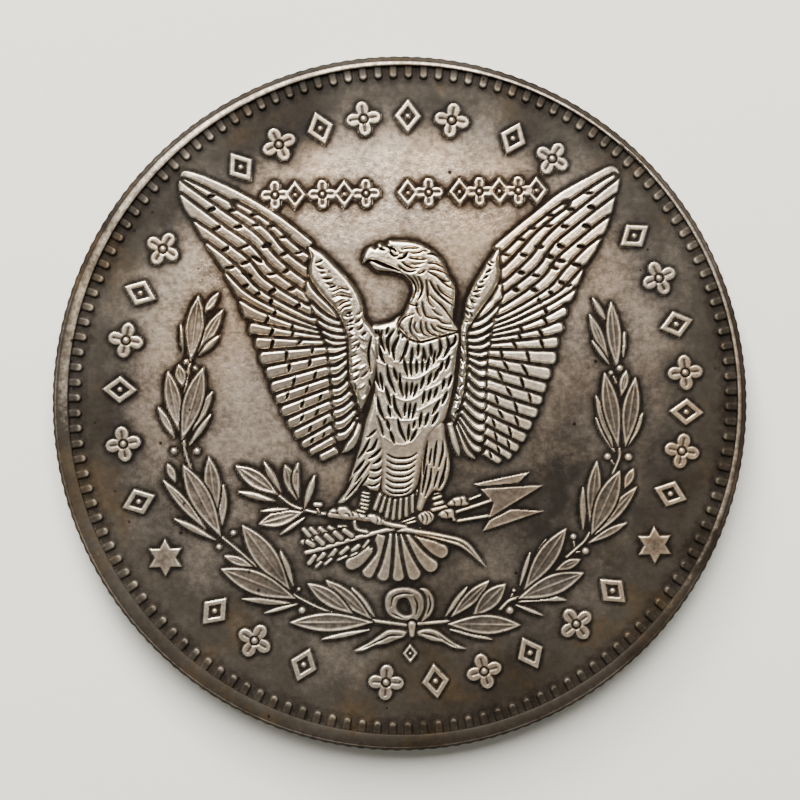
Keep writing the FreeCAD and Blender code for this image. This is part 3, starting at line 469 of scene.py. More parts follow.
# Arms of the wings. Cuts: width, depth, line. Ridges: width, rise, line
LEFT_ARM_CUTS = [
    (0.11, 0.13, (-4.68, 7.52), (-4.35, 7.66)), (0.11, 0.13, (-4.62, 7.32), (-4.28, 7.18)),
    (0.11, 0.13, (-4.44, 7.0), (-4.22, 6.94)), (0.13, 0.15, (-4.28, 6.66), (-3.88, 6.66)),
    (0.12, 0.15, (-4.12, 6.4), (-3.8, 6.34)), (0.12, 0.15, (-3.95, 6.16), (-3.65, 6.24)),
    (0.09, 0.12, (-3.75, 5.92), (-3.3, 6.12), (-2.95, 5.98)),
    (0.1, 0.13, (-3.78, 5.6), (-3.45, 5.74), (-3.0, 5.66), (-2.8, 5.56)),
    (0.1, 0.13, (-3.52, 5.1), (-3.25, 5.32), (-2.85, 5.42)),
    (0.1, 0.13, (-3.45, 4.82), (-3.2, 5.08), (-2.85, 5.14)),
    (0.16, 0.12, (-3.08, 4.68), (-2.82, 4.8)), (0.1, 0.1, (-3.18, 4.58), (-2.75, 4.55)),
    (0.16, 0.12, (-3.02, 4.22), (-2.74, 4.36)), (0.1, 0.1, (-3.15, 4.05), (-2.7, 4.1)),
    (0.16, 0.12, (-2.98, 3.76), (-2.76, 3.92)), (0.12, 0.12, (-2.98, 3.42), (-2.72, 3.52)),
    (0.1, 0.1, (-2.48, 4.62), (-2.26, 4.78)), (0.1, 0.1, (-2.6, 4.18), (-2.32, 4.38)),
    (0.1, 0.1, (-2.45, 3.78), (-2.22, 4.0)), (0.13, 0.1, (-2.24, 3.5), (-2.05, 3.66)),
    (0.09, 0.1, (-2.9, 3.05), (-2.5, 3.25)), (0.09, 0.1, (-2.9, 2.72), (-2.55, 2.95)),
    (0.09, 0.1, (-2.95, 2.3), (-2.55, 2.45)), (0.09, 0.1, (-2.92, 1.75), (-2.5, 1.98)),
    (0.09, 0.1, (-2.9, 1.42), (-2.5, 1.6)), (0.09, 0.1, (-2.55, 2.8), (-2.4, 3.05)),
    (0.09, 0.1, (-2.85, 1.02), (-2.5, 1.22)), (0.08, 0.09, (-2.7, 0.85), (-2.6, 0.3)),
    (0.12, 0.12, (-1.9, 1.05), (-1.82, 0.65)),
    (0.13, 0.14, (-1.75, 3.4), (-1.92, 2.5), (-1.82, 1.5)), (0.08, 0.09, (-2.3, 1.2), (-2.0, 1.5)),
]
LEFT_ARM_RIDGES = [
    (0.1, 0.05, (-3.78, 5.8), (-3.4, 6.0), (-2.85, 5.82)),
    (0.12, 0.05, (-3.7, 5.35), (-3.3, 5.55), (-2.8, 5.4)),
    (0.12, 0.05, (-3.4, 4.6), (-3.25, 4.95), (-2.85, 5.0)),
    (0.12, 0.05, (-3.15, 4.4), (-2.72, 4.55)), (0.12, 0.05, (-3.1, 3.9), (-2.66, 4.15)),
    (0.12, 0.05, (-2.52, 3.98), (-2.2, 4.2)), (0.12, 0.05, (-2.98, 3.35), (-2.65, 3.62)),
    (0.12, 0.06, (-2.98, 2.9), (-2.55, 3.15)), (0.12, 0.06, (-3.0, 2.5), (-2.6, 2.75)),
    (0.13, 0.07, (-2.35, 3.45), (-2.0, 3.2)), (0.13, 0.07, (-2.3, 2.9), (-2.02, 2.6)),
    (0.13, 0.07, (-1.65, 2.9), (-1.5, 2.3)), (0.12, 0.07, (-2.95, 1.92), (-2.4, 2.16)),
    (0.12, 0.07, (-2.52, 1.62), (-2.12, 1.84)), (0.12, 0.07, (-2.95, 1.16), (-2.5, 1.4)),
    (0.11, 0.07, (-2.5, 0.55), (-2.18, 0.82)), (0.1, 0.06, (-2.35, -0.1), (-2.08, 0.2)),
    (0.08, 0.05, (-2.62, 0.9), (-2.58, -0.3)),
]
RIGHT_ARM_CUTS = [
    (0.13, 0.12, (4.74, 7.32), (4.95, 7.16)), (0.1, 0.12, (4.86, 7.42), (5.04, 7.3)),
    (0.12, 0.14, (4.64, 6.8), (4.9, 6.96)), (0.12, 0.14, (4.5, 6.48), (4.72, 6.64)),
    (0.1, 0.12, (4.25, 6.28), (4.5, 6.34)), (0.12, 0.14, (4.16, 5.98), (4.45, 6.04)),
    (0.12, 0.14, (3.88, 5.78), (4.3, 5.84)), (0.1, 0.12, (3.98, 5.56), (4.22, 5.46)),
    (0.14, 0.13, (3.74, 5.34), (3.98, 5.14)), (0.11, 0.13, (3.5, 4.98), (3.82, 4.78)),
    (0.11, 0.13, (3.44, 4.72), (3.66, 4.46)), (0.1, 0.13, (3.72, 4.64), (3.86, 4.36)),
    (0.11, 0.14, (3.4, 4.16), (3.62, 4.12)), (0.11, 0.14, (3.26, 3.36), (3.42, 3.4)),
    (0.1, 0.13, (3.22, 2.86), (3.36, 2.5)), (0.1, 0.13, (3.16, 2.2), (3.3, 1.9)),
    (0.1, 0.12, (3.05, 1.18), (3.3, 1.06)), (0.1, 0.12, (3.2, 0.7), (3.0, 0.52)),
    (0.1, 0.12, (2.8, 0.36), (3.02, 0.02)), (0.1, 0.12, (2.7, -0.14), (3.0, -0.2)),
    (0.1, 0.12, (2.76, -0.92), (2.96, -0.7)), (0.09, 0.1, (2.6, -1.0), (2.8, -1.3)),
]
RIGHT_ARM_RIDGES = [
    (0.12, 0.05, (4.1, 6.14), (4.5, 6.2)), (0.12, 0.06, (3.7, 5.6), (4.2, 5.66)),
    (0.12, 0.06, (3.52, 5.16), (3.95, 4.92)), (0.12, 0.06, (3.5, 4.4), (3.75, 4.3)),
    (0.18, 0.06, (3.3, 3.62), (3.5, 3.56)), (0.16, 0.05, (3.2, 3.1), (3.45, 3.12)),
    (0.14, 0.06, (3.1, 1.62), (3.35, 1.5)), (0.16, 0.07, (3.08, 0.86), (3.36, 0.84)),
    (0.14, 0.06, (2.8, 0.24), (2.98, 0.06)), (0.16, 0.07, (2.58, -0.6), (3.0, -0.56)),
    (0.12, 0.06, (2.55, -0.9), (2.76, -1.1)), (0.1, 0.05, (3.2, 2.7), (3.36, 2.2)),
]
# Outlines of the arms, and of the head with its neck and beak
LEFT_ARM = [
    (-5.1, 8.45), (-4.3, 8.1), (-3.5, 7.3), (-2.95, 6.7), (-2.43, 5.95), (-2.15, 5.2),
    (-2.06, 4.45), (-1.7, 3.97), (-1.3, 3.2), (-1.35, 2.0), (-1.55, 1.2), (-1.9, 0.3), (-2.4, -0.6),
    (-2.72, 0.4), (-3.02, 1.2), (-3.03, 3.2), (-3.22, 3.95), (-3.55, 4.7), (-3.9, 5.15),
    (-4.45, 5.8), (-5.0, 6.6), (-5.1, 7.3), (-4.98, 7.9),
]
RIGHT_ARM = [
    (5.4, 8.15), (4.85, 7.6), (4.35, 6.85), (3.9, 6.1), (3.52, 5.25), (3.38, 4.4), (3.18, 3.75),
    (3.16, 3.0), (3.12, 2.2), (3.0, 1.4), (2.88, 0.5), (2.62, -0.4), (2.5, -0.9), (2.74, -1.35),
    (2.98, -0.7), (3.22, 0.0), (3.38, 0.7), (3.46, 1.5), (3.5, 2.3), (3.48, 3.2), (3.62, 3.75),
    (3.95, 4.25), (4.42, 4.92), (5.05, 5.75), (5.42, 6.6), (5.4, 7.6),
]
HEAD = [
    (-2.07, 7.45), (-2.12, 7.8), (-2.0, 8.1), (-1.8, 8.32), (-1.58, 8.37), (-1.38, 8.28),
    (-1.34, 8.45), (-1.22, 8.56), (-1.05, 8.54), (-0.92, 8.4), (-0.8, 8.4), (-0.76, 8.56),
    (-0.62, 8.72), (0.0, 8.68), (0.5, 8.64), (1.05, 8.5), (1.57, 8.2), (2.0, 7.88), (2.28, 7.52),
    (2.45, 7.1), (2.6, 6.68), (2.88, 6.25), (2.95, 5.73), (2.9, 5.1), (2.82, 4.6), (2.8, 4.1),
    (3.05, 3.66), (2.4, 3.45), (1.83, 3.3), (1.0, 3.1), (0.4, 3.25), (-0.1, 3.7), (-0.25, 4.15),
    (0.05, 4.6), (0.28, 5.1), (0.5, 5.55), (0.6, 5.95), (0.56, 6.27), (0.34, 6.55), (0.0, 6.78),
    (-0.5, 6.93), (-0.95, 6.98), (-1.32, 7.02), (-1.52, 7.12), (-1.72, 7.38), (-1.84, 7.52),
]
# Width, depth, line: mouth, brow, eye and neck feathers
HEAD_CUTS = [
    (0.17, 0.3, (-1.92, 7.52), (-1.74, 7.62), (-1.4, 7.55), (-0.8, 7.29), (-0.35, 7.12),
     (-0.05, 6.98)),
    (0.12, 0.26, (-1.2, 8.24), (-1.05, 8.23), (-0.9, 8.14)),
    (0.13, 0.28, (-0.86, 8.44), (-0.62, 8.3), (-0.36, 8.18), (-0.24, 8.04)),
    (0.1, 0.26, (-0.58, 8.2), (-0.56, 8.0), (-0.42, 7.86), (-0.2, 7.82)),
    (0.13, 0.26, (-0.18, 7.66), (0.12, 7.74), (0.33, 7.98)),
    (0.08, 0.22, (0.05, 8.17), (0.4, 8.26), (0.95, 8.22)),
    (0.08, 0.22, (0.6, 7.95), (1.0, 8.0), (1.2, 8.1), (1.48, 8.02)),
    (0.1, 0.22, (1.46, 7.9), (1.75, 7.9), (2.05, 7.76)),
    (0.08, 0.22, (0.46, 7.69), (0.85, 7.64), (1.32, 7.6)),
    (0.05, 0.14, (0.55, 7.36), (0.8, 7.32), (1.25, 7.4)),
    (0.09, 0.22, (0.03, 7.48), (0.3, 7.28), (0.6, 7.15), (0.92, 7.14)),
    (0.11, 0.24, (-0.15, 7.27), (0.15, 7.05), (0.45, 6.95), (0.75, 6.98)),
    (0.08, 0.2, (1.5, 7.38), (1.9, 7.36), (2.38, 7.1)),
    (0.08, 0.18, (0.95, 6.82), (1.12, 6.88), (1.26, 6.97)),
    (0.08, 0.2, (1.55, 7.05), (2.0, 7.0), (2.5, 6.78)),
    (0.08, 0.2, (1.5, 6.9), (1.9, 6.68), (2.2, 6.45), (2.6, 6.3)),
    (0.11, 0.22, (1.55, 6.4), (1.8, 5.95), (2.2, 5.5), (2.8, 5.02)),
    (0.09, 0.2, (1.95, 6.15), (2.2, 5.75), (2.8, 5.35)),
    (0.09, 0.2, (2.1, 6.5), (2.42, 6.2), (2.85, 5.95)),
    (0.09, 0.2, (1.35, 6.45), (1.4, 5.8), (1.45, 5.3), (1.7, 4.95)),
    (0.11, 0.22, (0.92, 6.65), (1.1, 6.2), (1.05, 5.75), (0.82, 5.35)),
    (0.11, 0.22, (0.28, 6.78), (0.6, 6.45), (0.76, 6.05), (0.7, 5.7), (0.5, 5.35)),
    (0.07, 0.18, (0.62, 6.75), (0.86, 6.35), (0.92, 5.95), (0.78, 5.6)),
    (0.08, 0.2, (0.8, 5.35), (0.8, 4.9), (0.98, 4.45)),
    (0.08, 0.2, (1.1, 5.25), (1.16, 4.8), (1.32, 4.48), (1.7, 4.32)),
    (0.08, 0.18, (1.6, 4.38), (1.95, 4.3), (2.2, 4.1), (2.7, 4.0)),
    (0.09, 0.2, (1.55, 5.6), (1.9, 5.3), (2.25, 4.95), (2.75, 4.22)),
    (0.07, 0.16, (1.65, 4.85), (1.85, 4.65), (2.15, 4.45)),
    (0.09, 0.18, (0.28, 5.25), (0.55, 5.12), (0.85, 5.08)),
    (0.08, 0.2, (0.6, 4.6), (0.12, 4.45), (-0.14, 4.18), (-0.12, 3.9), (0.3, 3.42)),
    (0.08, 0.2, (0.52, 4.42), (0.4, 4.0), (0.46, 3.6), (0.88, 3.15)),
    (0.07, 0.16, (0.7, 4.15), (0.62, 3.88), (0.8, 3.6), (1.0, 3.52)),
    (0.09, 0.2, (1.0, 4.2), (1.0, 3.8), (1.15, 3.5), (1.52, 3.34)),
    (0.09, 0.2, (1.26, 4.12), (1.32, 3.75), (1.56, 3.5), (2.0, 3.38)),
    (0.08, 0.18, (1.55, 4.02), (1.76, 3.72), (2.25, 3.5)),
    (0.11, 0.22, (1.9, 3.92), (2.3, 3.75), (2.95, 3.66)),
]
BREAST = [
    (-0.3, 4.45), (-0.62, 4.24), (-1.2, 4.1), (-1.75, 3.97), (-1.72, 3.2), (-1.68, 2.0),
    (-1.62, 1.2), (-1.62, 0.5), (-1.75, -0.2), (-1.85, -0.9), (-1.75, -1.6), (-1.55, -2.2),
    (-1.45, -3.0), (-1.45, -3.8), (-1.42, -4.9), (-1.05, -5.32), (-0.38, -5.4), (0.3, -5.2),
    (0.72, -4.6), (0.95, -3.6), (1.3, -2.4), (1.8, -1.75), (2.25, -1.15), (2.5, -0.3), (2.7, 0.5),
    (2.82, 1.3), (2.96, 2.4), (3.02, 3.62), (1.5, 4.2), (0.4, 4.7),
]
# Width, line: slits between the small feathers
BREAST_SLITS = [
    (0.11, (-1.5, 3.8), (-1.45, 3.4)), (0.11, (-1.35, 3.8), (-1.3, 3.4)),
    (0.14, (-1.15, 3.75), (-1.22, 3.2), (-1.0, 2.6)),
    (0.14, (-0.5, 3.75), (-0.85, 3.2), (-0.75, 2.4)),
    (0.14, (-0.22, 3.4), (-0.55, 2.75), (-0.5, 2.1)),
    (0.13, (-1.62, 3.15), (-1.55, 2.6), (-1.42, 2.2)),
    (0.13, (-1.32, 2.95), (-1.2, 2.3), (-1.02, 1.95)),
    (0.13, (0.3, 3.25), (0.08, 2.55), (-0.2, 2.0)), (0.13, (0.5, 2.75), (0.42, 2.0)),
    (0.11, (0.85, 2.95), (0.78, 2.3)), (0.13, (1.1, 2.75), (1.2, 2.0)),
    (0.13, (1.5, 2.95), (1.55, 2.2)), (0.13, (2.0, 3.25), (2.05, 2.65), (1.8, 2.1)),
    (0.13, (2.4, 3.35), (2.5, 2.8), (2.2, 2.2)), (0.13, (2.9, 3.4), (2.8, 3.0), (2.5, 2.7)),
    (0.13, (-1.62, 1.95), (-1.55, 1.3), (-1.33, 0.6)), (0.13, (-1.3, 1.4), (-1.18, 0.5)),
    (0.13, (-0.92, 1.85), (-0.8, 1.1), (-0.48, 0.3)), (0.12, (-0.55, 1.65), (-0.35, 0.95)),
    (0.13, (-0.22, 1.35), (-0.2, 0.7), (-0.05, 0.1)), (0.13, (-1.02, 0.65), (-0.75, -0.4)),
    (0.13, (-1.48, 0.1), (-1.35, -0.6), (-1.08, -1.2)), (0.12, (-0.9, -0.4), (-0.78, -1.0)),
    (0.13, (-0.58, 0.15), (-0.5, -0.5), (-0.18, -1.1)), (0.13, (-1.52, -0.95), (-1.2, -2.0)),
    (0.12, (-1.0, -1.15), (-0.85, -1.7)), (0.12, (-0.82, -1.8), (-0.6, -2.45)),
    (0.13, (-0.38, -1.15), (-0.25, -1.75), (0.02, -2.35)), (0.12, (0.0, 2.2), (0.2, 1.2)),
    (0.12, (0.36, 2.2), (0.42, 1.2)), (0.12, (0.15, 0.85), (0.1, 0.0)),
    (0.11, (0.45, 0.85), (0.35, 0.15)), (0.12, (0.72, 0.75), (0.5, 0.1)),
    (0.12, (0.05, -0.25), (-0.02, -0.95)), (0.12, (0.32, -0.3), (0.2, -1.1)),
    (0.12, (0.62, -0.3), (0.4, -1.1)), (0.12, (0.72, 2.05), (0.7, 1.35)),
    (0.12, (1.06, 2.3), (1.0, 1.4)), (0.13, (1.42, 2.2), (1.22, 1.5)),
    (0.12, (1.75, 2.55), (1.62, 1.85)), (0.12, (1.1, 1.15), (0.88, 0.5)),
    (0.13, (1.52, 1.35), (1.28, 0.7)), (0.13, (1.92, 1.6), (1.62, 0.95)),
    (0.13, (2.52, 2.25), (2.28, 1.55)), (0.12, (2.15, 1.95), (1.98, 1.45)),
    (0.12, (2.22, 1.0), (2.08, 0.45)), (0.12, (2.62, 1.2), (2.4, 0.6)),
    (0.12, (1.12, 0.35), (0.98, -0.3)), (0.12, (1.47, 0.45), (1.28, -0.2)),
    (0.12, (1.82, 0.55), (1.6, 0.0)), (0.13, (1.92, -0.15), (1.5, -0.9)),
    (0.12, (2.35, 0.3), (2.05, -0.35)), (0.12, (1.3, -0.85), (1.08, -1.5)),
    (0.12, (0.92, -0.8), (0.78, -1.6)), (0.12, (1.82, -0.85), (1.48, -1.45)),
    (0.12, (0.22, -1.45), (0.15, -2.3)), (0.12, (0.62, -1.75), (0.28, -2.35)),
    (0.1, (0.55, -1.25), (0.42, -1.65)), (0.1, (-0.15, 3.85), (-0.25, 3.45)),
    (0.1, (0.1, 3.75), (-0.02, 3.3)), (0.1, (-0.8, 3.9), (-0.95, 3.5)),
]
# Width, rise, line: lower edges of the feather rows
BREAST_RIDGES = [
    (0.11, 0.02, (-0.95, 2.55), (-0.5, 2.05), (0.0, 1.95), (0.6, 1.9), (1.1, 1.95), (1.6, 2.1),
     (2.2, 2.1), (2.8, 2.55)),
    (0.11, 0.025, (-0.1, 1.15), (0.5, 1.05), (1.0, 1.2), (1.6, 1.6), (2.3, 1.95), (2.95, 2.35)),
    (0.11, 0.025, (-1.45, 0.5), (-0.8, 0.2), (0.0, -0.12), (0.6, 0.0), (1.2, 0.4), (2.0, 0.8),
     (2.8, 1.5)),
    (0.1, 0.025, (0.2, -0.75), (0.8, -0.65), (1.4, -0.35), (2.0, 0.0), (2.6, 0.55)),
    (0.1, 0.025, (-1.4, -1.2), (-0.8, -1.05), (-0.1, -1.22), (0.6, -1.15), (1.3, -0.85)),
    (0.1, 0.02, (-1.6, 2.1), (-1.0, 1.85), (-0.45, 1.6)),
    (0.1, 0.02, (-1.3, -2.0), (-0.5, -2.5), (0.2, -2.45), (0.9, -1.8)),
]
LEFT_THIGH = [
    (-1.6, 0.4), (-1.9, -0.5), (-2.15, -1.2), (-2.32, -1.9), (-2.6, -2.9), (-3.0, -4.1),
    (-3.4, -5.1), (-3.78, -5.62), (-3.4, -5.65), (-2.8, -5.12), (-2.4, -4.75), (-1.95, -5.0),
    (-1.55, -5.05), (-1.3, -4.6), (-1.1, -3.6), (-0.95, -2.6), (-1.2, -1.6), (-1.42, -0.6),
]
RIGHT_THIGH = [
    (1.0, -2.0), (0.85, -3.0), (0.76, -4.2), (0.68, -5.2), (0.5, -6.05), (0.82, -6.2), (1.12, -5.6),
    (1.5, -5.15), (1.9, -5.15), (2.2, -4.7), (2.42, -4.0), (2.42, -3.3), (2.25, -2.3), (2.1, -1.3),
    (1.5, -1.5),
]
# Width, depth, line: gaps between the feathers of both thighs
LEG_CUTS = [
    (0.12, 0.15, (-1.95, -2.2), (-2.25, -2.75), (-2.62, -3.25)),
    (0.12, 0.15, (-1.55, -2.22), (-1.78, -2.68), (-2.12, -2.88)),
    (0.12, 0.15, (-1.35, -2.72), (-1.65, -3.02), (-2.02, -3.25)),
    (0.12, 0.15, (-1.25, -3.16), (-1.5, -3.38), (-1.78, -3.55)),
    (0.11, 0.14, (-1.3, -3.72), (-1.6, -3.9), (-1.95, -3.88)),
    (0.13, 0.15, (-2.28, -3.35), (-2.58, -3.72), (-2.88, -4.05)),
    (0.1, 0.13, (-1.6, -1.7), (-1.95, -1.98), (-2.1, -2.1)),
    (0.1, 0.14, (-2.0, -3.5), (-2.4, -4.0), (-2.8, -4.55)),
    (0.1, 0.14, (-2.95, -4.3), (-3.2, -4.75), (-3.45, -5.2)),
    (0.09, 0.13, (-2.45, -4.35), (-2.85, -4.85), (-3.35, -5.4)),
    (0.09, 0.13, (-1.4, -4.2), (-1.7, -4.35), (-2.05, -4.3)),
    (0.09, 0.13, (-1.5, -4.6), (-1.8, -4.75), (-2.1, -4.7)),
    (0.09, 0.12, (-2.05, -4.15), (-2.35, -4.55), (-2.6, -4.85)),
    (0.11, 0.14, (1.2, -2.4), (1.05, -3.3), (0.95, -4.2)),
    (0.11, 0.15, (1.72, -2.4), (1.62, -3.0), (1.52, -3.75)),
    (0.1, 0.14, (2.05, -2.4), (2.02, -3.0), (1.8, -3.8)),
    (0.11, 0.15, (1.15, -3.7), (1.0, -4.5), (0.85, -5.2)),
    (0.1, 0.14, (1.38, -3.9), (1.3, -4.5), (1.0, -5.4)),
    (0.1, 0.13, (2.22, -3.3), (2.1, -4.0), (1.75, -4.9)),
    (0.09, 0.13, (1.75, -4.05), (1.62, -4.5), (1.5, -4.9)),
    (0.09, 0.12, (2.1, -4.2), (1.98, -4.6), (1.75, -5.0)),
    (0.09, 0.12, (1.42, -2.8), (1.35, -3.2), (1.28, -3.6)),
]
# Line from tip to root, half the greatest width, how the tip ends
TAIL_FEATHERS = [
    ([(-3.42, -9.1), (-2.65, -8.8), (-1.95, -8.3)], 0.36, 0.5),
    ([(-2.34, -9.74), (-1.8, -8.8), (-1.31, -7.5)], 0.4, 0.5),
    ([(-1.5, -9.95), (-1.16, -9.0), (-0.86, -7.4)], 0.4, 0.5),
    ([(-0.54, -10.02), (-0.58, -9.0), (-0.61, -7.4)], 0.4, 0.5),
    ([(0.46, -9.94), (0.05, -9.0), (-0.37, -7.4)], 0.4, 0.5),
    ([(1.52, -9.45), (0.7, -8.6), (-0.08, -7.4)], 0.42, 0.5),
    ([(2.2, -8.56), (1.35, -8.2), (0.45, -7.4)], 0.42, 0.5),
]
RUMP_FEATHERS = [
    ([(-1.78, -6.12), (-1.4, -5.2)], 0.15, 0.6), ([(-1.48, -6.26), (-1.12, -5.2)], 0.16, 0.6),
    ([(-1.14, -6.58), (-0.86, -5.2)], 0.16, 0.6), ([(-0.78, -6.68), (-0.58, -5.2)], 0.16, 0.6),
    ([(-0.43, -6.65), (-0.3, -5.2)], 0.16, 0.6), ([(-0.06, -6.53), (0.0, -5.1)], 0.16, 0.6),
    ([(0.3, -6.32), (0.34, -5.0)], 0.16, 0.6), ([(0.62, -6.1), (0.62, -4.9)], 0.12, 0.6),
]
# Leaves: tip x, tip y, base x, base y, width, and how far the middle bows out
OLIVE_LEAVES = [
    (-9.3, -3.5, -7.05, -5.1, 0.8), (-7.75, -3.3, -6.85, -5.0, 0.3), (-6.6, -3.5, -6.0, -5.4, 0.6),
    (-5.9, -3.4, -5.9, -5.3, 0.35, 0.15), (-5.0, -4.1, -5.6, -5.9, 0.3),
    (-9.2, -4.9, -7.2, -5.45, 0.3), (-8.1, -6.7, -5.7, -6.1, 0.75), (-8.0, -6.0, -6.5, -5.9, 0.14),
    (-6.95, -7.3, -5.6, -6.4, 0.16),
]
LEFT_WREATH = [
    (-10.05, 6.0, -10.85, 4.9, 0.35), (-9.85, 5.05, -11.2, 2.8, 0.55),
    (-10.05, 3.65, -11.2, 2.6, 0.3), (-12.15, 4.3, -12.05, 2.8, 0.14),
    (-11.15, 5.85, -11.65, 2.3, 0.85), (-12.3, 2.1, -12.1, 0.9, 0.5),
    (-12.9, 1.75, -12.35, -1.5, 0.75), (-13.45, -0.2, -12.6, -1.9, 0.35),
    (-10.5, 0.6, -11.6, -1.5, 0.4), (-10.6, -0.65, -11.8, -2.3, 0.25),
    (-10.98, 1.9, -12.2, -2.0, 0.95), (-13.0, -3.3, -12.6, -4.3, 0.35),
    (-10.0, -4.5, -10.1, -6.7, 0.4), (-10.75, -3.0, -10.4, -6.0, 0.75),
    (-13.25, -4.2, -11.0, -6.9, 0.45), (-12.7, -6.3, -10.5, -7.5, 0.3),
    (-12.15, -3.4, -10.2, -7.3, 1.0), (-6.95, -8.2, -6.3, -10.1, 0.3),
    (-7.8, -7.45, -6.5, -10.2, 0.3), (-10.0, -8.4, -8.5, -9.0, 0.4),
    (-9.0, -6.75, -6.5, -10.3, 1.1), (-9.1, -10.75, -6.3, -11.1, 0.3),
    (-7.9, -11.55, -6.1, -11.1, 0.16), (-10.2, -9.1, -6.2, -10.8, 1.1),
    (-3.1, -10.3, -1.9, -11.9, 0.3), (-4.5, -9.85, -2.1, -12.0, 0.7),
    (-5.5, -10.0, -3.1, -11.7, 0.75), (-4.8, -13.05, -2.2, -12.6, 0.2),
    (-6.5, -12.1, -2.0, -12.2, 0.9),
]
RIGHT_WREATH = [
    (10.5, 5.3, 11.2, 4.0, 0.25), (10.3, 4.4, 11.25, 2.0, 0.45), (10.4, 2.95, 11.3, 1.65, 0.16),
    (12.2, 3.4, 12.1, 2.0, 0.16), (11.5, 5.05, 11.75, 1.45, 0.7), (12.25, 1.25, 11.95, -0.1, 0.4),
    (13.1, -1.1, 12.2, -2.9, 0.35), (12.75, 0.85, 12.1, -2.9, 0.8), (10.5, -1.3, 11.5, -3.2, 0.26),
    (10.55, -0.1, 11.4, -2.9, 0.4), (11.05, 1.15, 11.7, -2.9, 0.8), (9.7, -5.1, 9.65, -7.4, 0.3),
    (10.5, -3.7, 10.05, -7.0, 0.65), (12.5, -4.15, 12.0, -5.2, 0.4),
    (12.05, -7.1, 9.95, -8.15, 0.35), (12.65, -5.15, 10.3, -7.7, 0.6),
    (11.75, -4.25, 10.1, -7.7, 1.0), (6.7, -8.6, 6.1, -10.4, 0.16), (7.6, -7.9, 6.5, -10.0, 0.26),
    (9.45, -9.05, 8.1, -9.6, 0.45), (8.7, -7.35, 6.35, -10.6, 0.95),
    (8.6, -11.25, 6.0, -11.3, 0.35, 0.2), (7.3, -12.05, 5.85, -11.45, 0.14),
    (9.6, -9.8, 6.0, -11.1, 1.0), (3.2, -10.4, 2.0, -11.95, 0.26), (4.4, -10.1, 2.3, -12.0, 0.6),
    (5.3, -10.3, 3.5, -12.0, 0.85), (4.5, -13.3, 2.2, -12.7, 0.2), (6.05, -12.55, 2.1, -12.4, 0.95),
]
# Stems: width, line. Berries: x, y, radius
LEFT_STEMS = [
    (0.14, (-11.65, 2.4), (-12.0, 0.5), (-12.1, -2.2), (-11.75, -3.6), (-11.3, -5.2)),
    (0.14, (-10.2, -7.3), (-9.15, -8.2), (-8.3, -9.0)),
    (0.14, (-6.3, -10.6), (-5.0, -11.3), (-3.5, -11.9)), (0.22, (-2.1, -12.1), (-0.2, -12.4)),
]
RIGHT_STEMS = [
    (0.1, (11.7, 0.6), (11.5, 1.05)), (0.1, (11.5, -3.95), (11.25, -3.6)),
    (0.14, (11.75, -2.9), (11.75, -3.5), (11.35, -4.4)), (0.1, (9.15, -8.35), (9.1, -7.95)),
    (0.1, (9.1, -8.65), (9.6, -8.6)), (0.15, (10.0, -7.6), (9.7, -8.05), (9.3, -8.4), (8.7, -8.9)),
    (0.1, (5.6, -11.0), (5.72, -10.75)), (0.18, (6.2, -11.0), (5.5, -11.2), (5.0, -11.65)),
    (0.22, (2.15, -12.25), (0.5, -12.35)),
]
LEFT_BERRIES = [
    (-11.9, 2.25, 0.17), (-11.4, 1.9, 0.15), (-12.65, -2.6, 0.2), (-11.4, -2.65, 0.2),
    (-9.5, -7.15, 0.17), (-10.3, -7.9, 0.17), (-6.0, -10.3, 0.12), (-5.85, -11.45, 0.2),
]
RIGHT_BERRIES = [
    (11.9, 1.4, 0.19), (11.4, 1.15, 0.14), (11.1, -3.45, 0.2), (12.25, -3.5, 0.22),
    (9.1, -7.8, 0.18), (9.75, -8.6, 0.21), (5.76, -10.66, 0.11), (5.52, -11.75, 0.22),
]
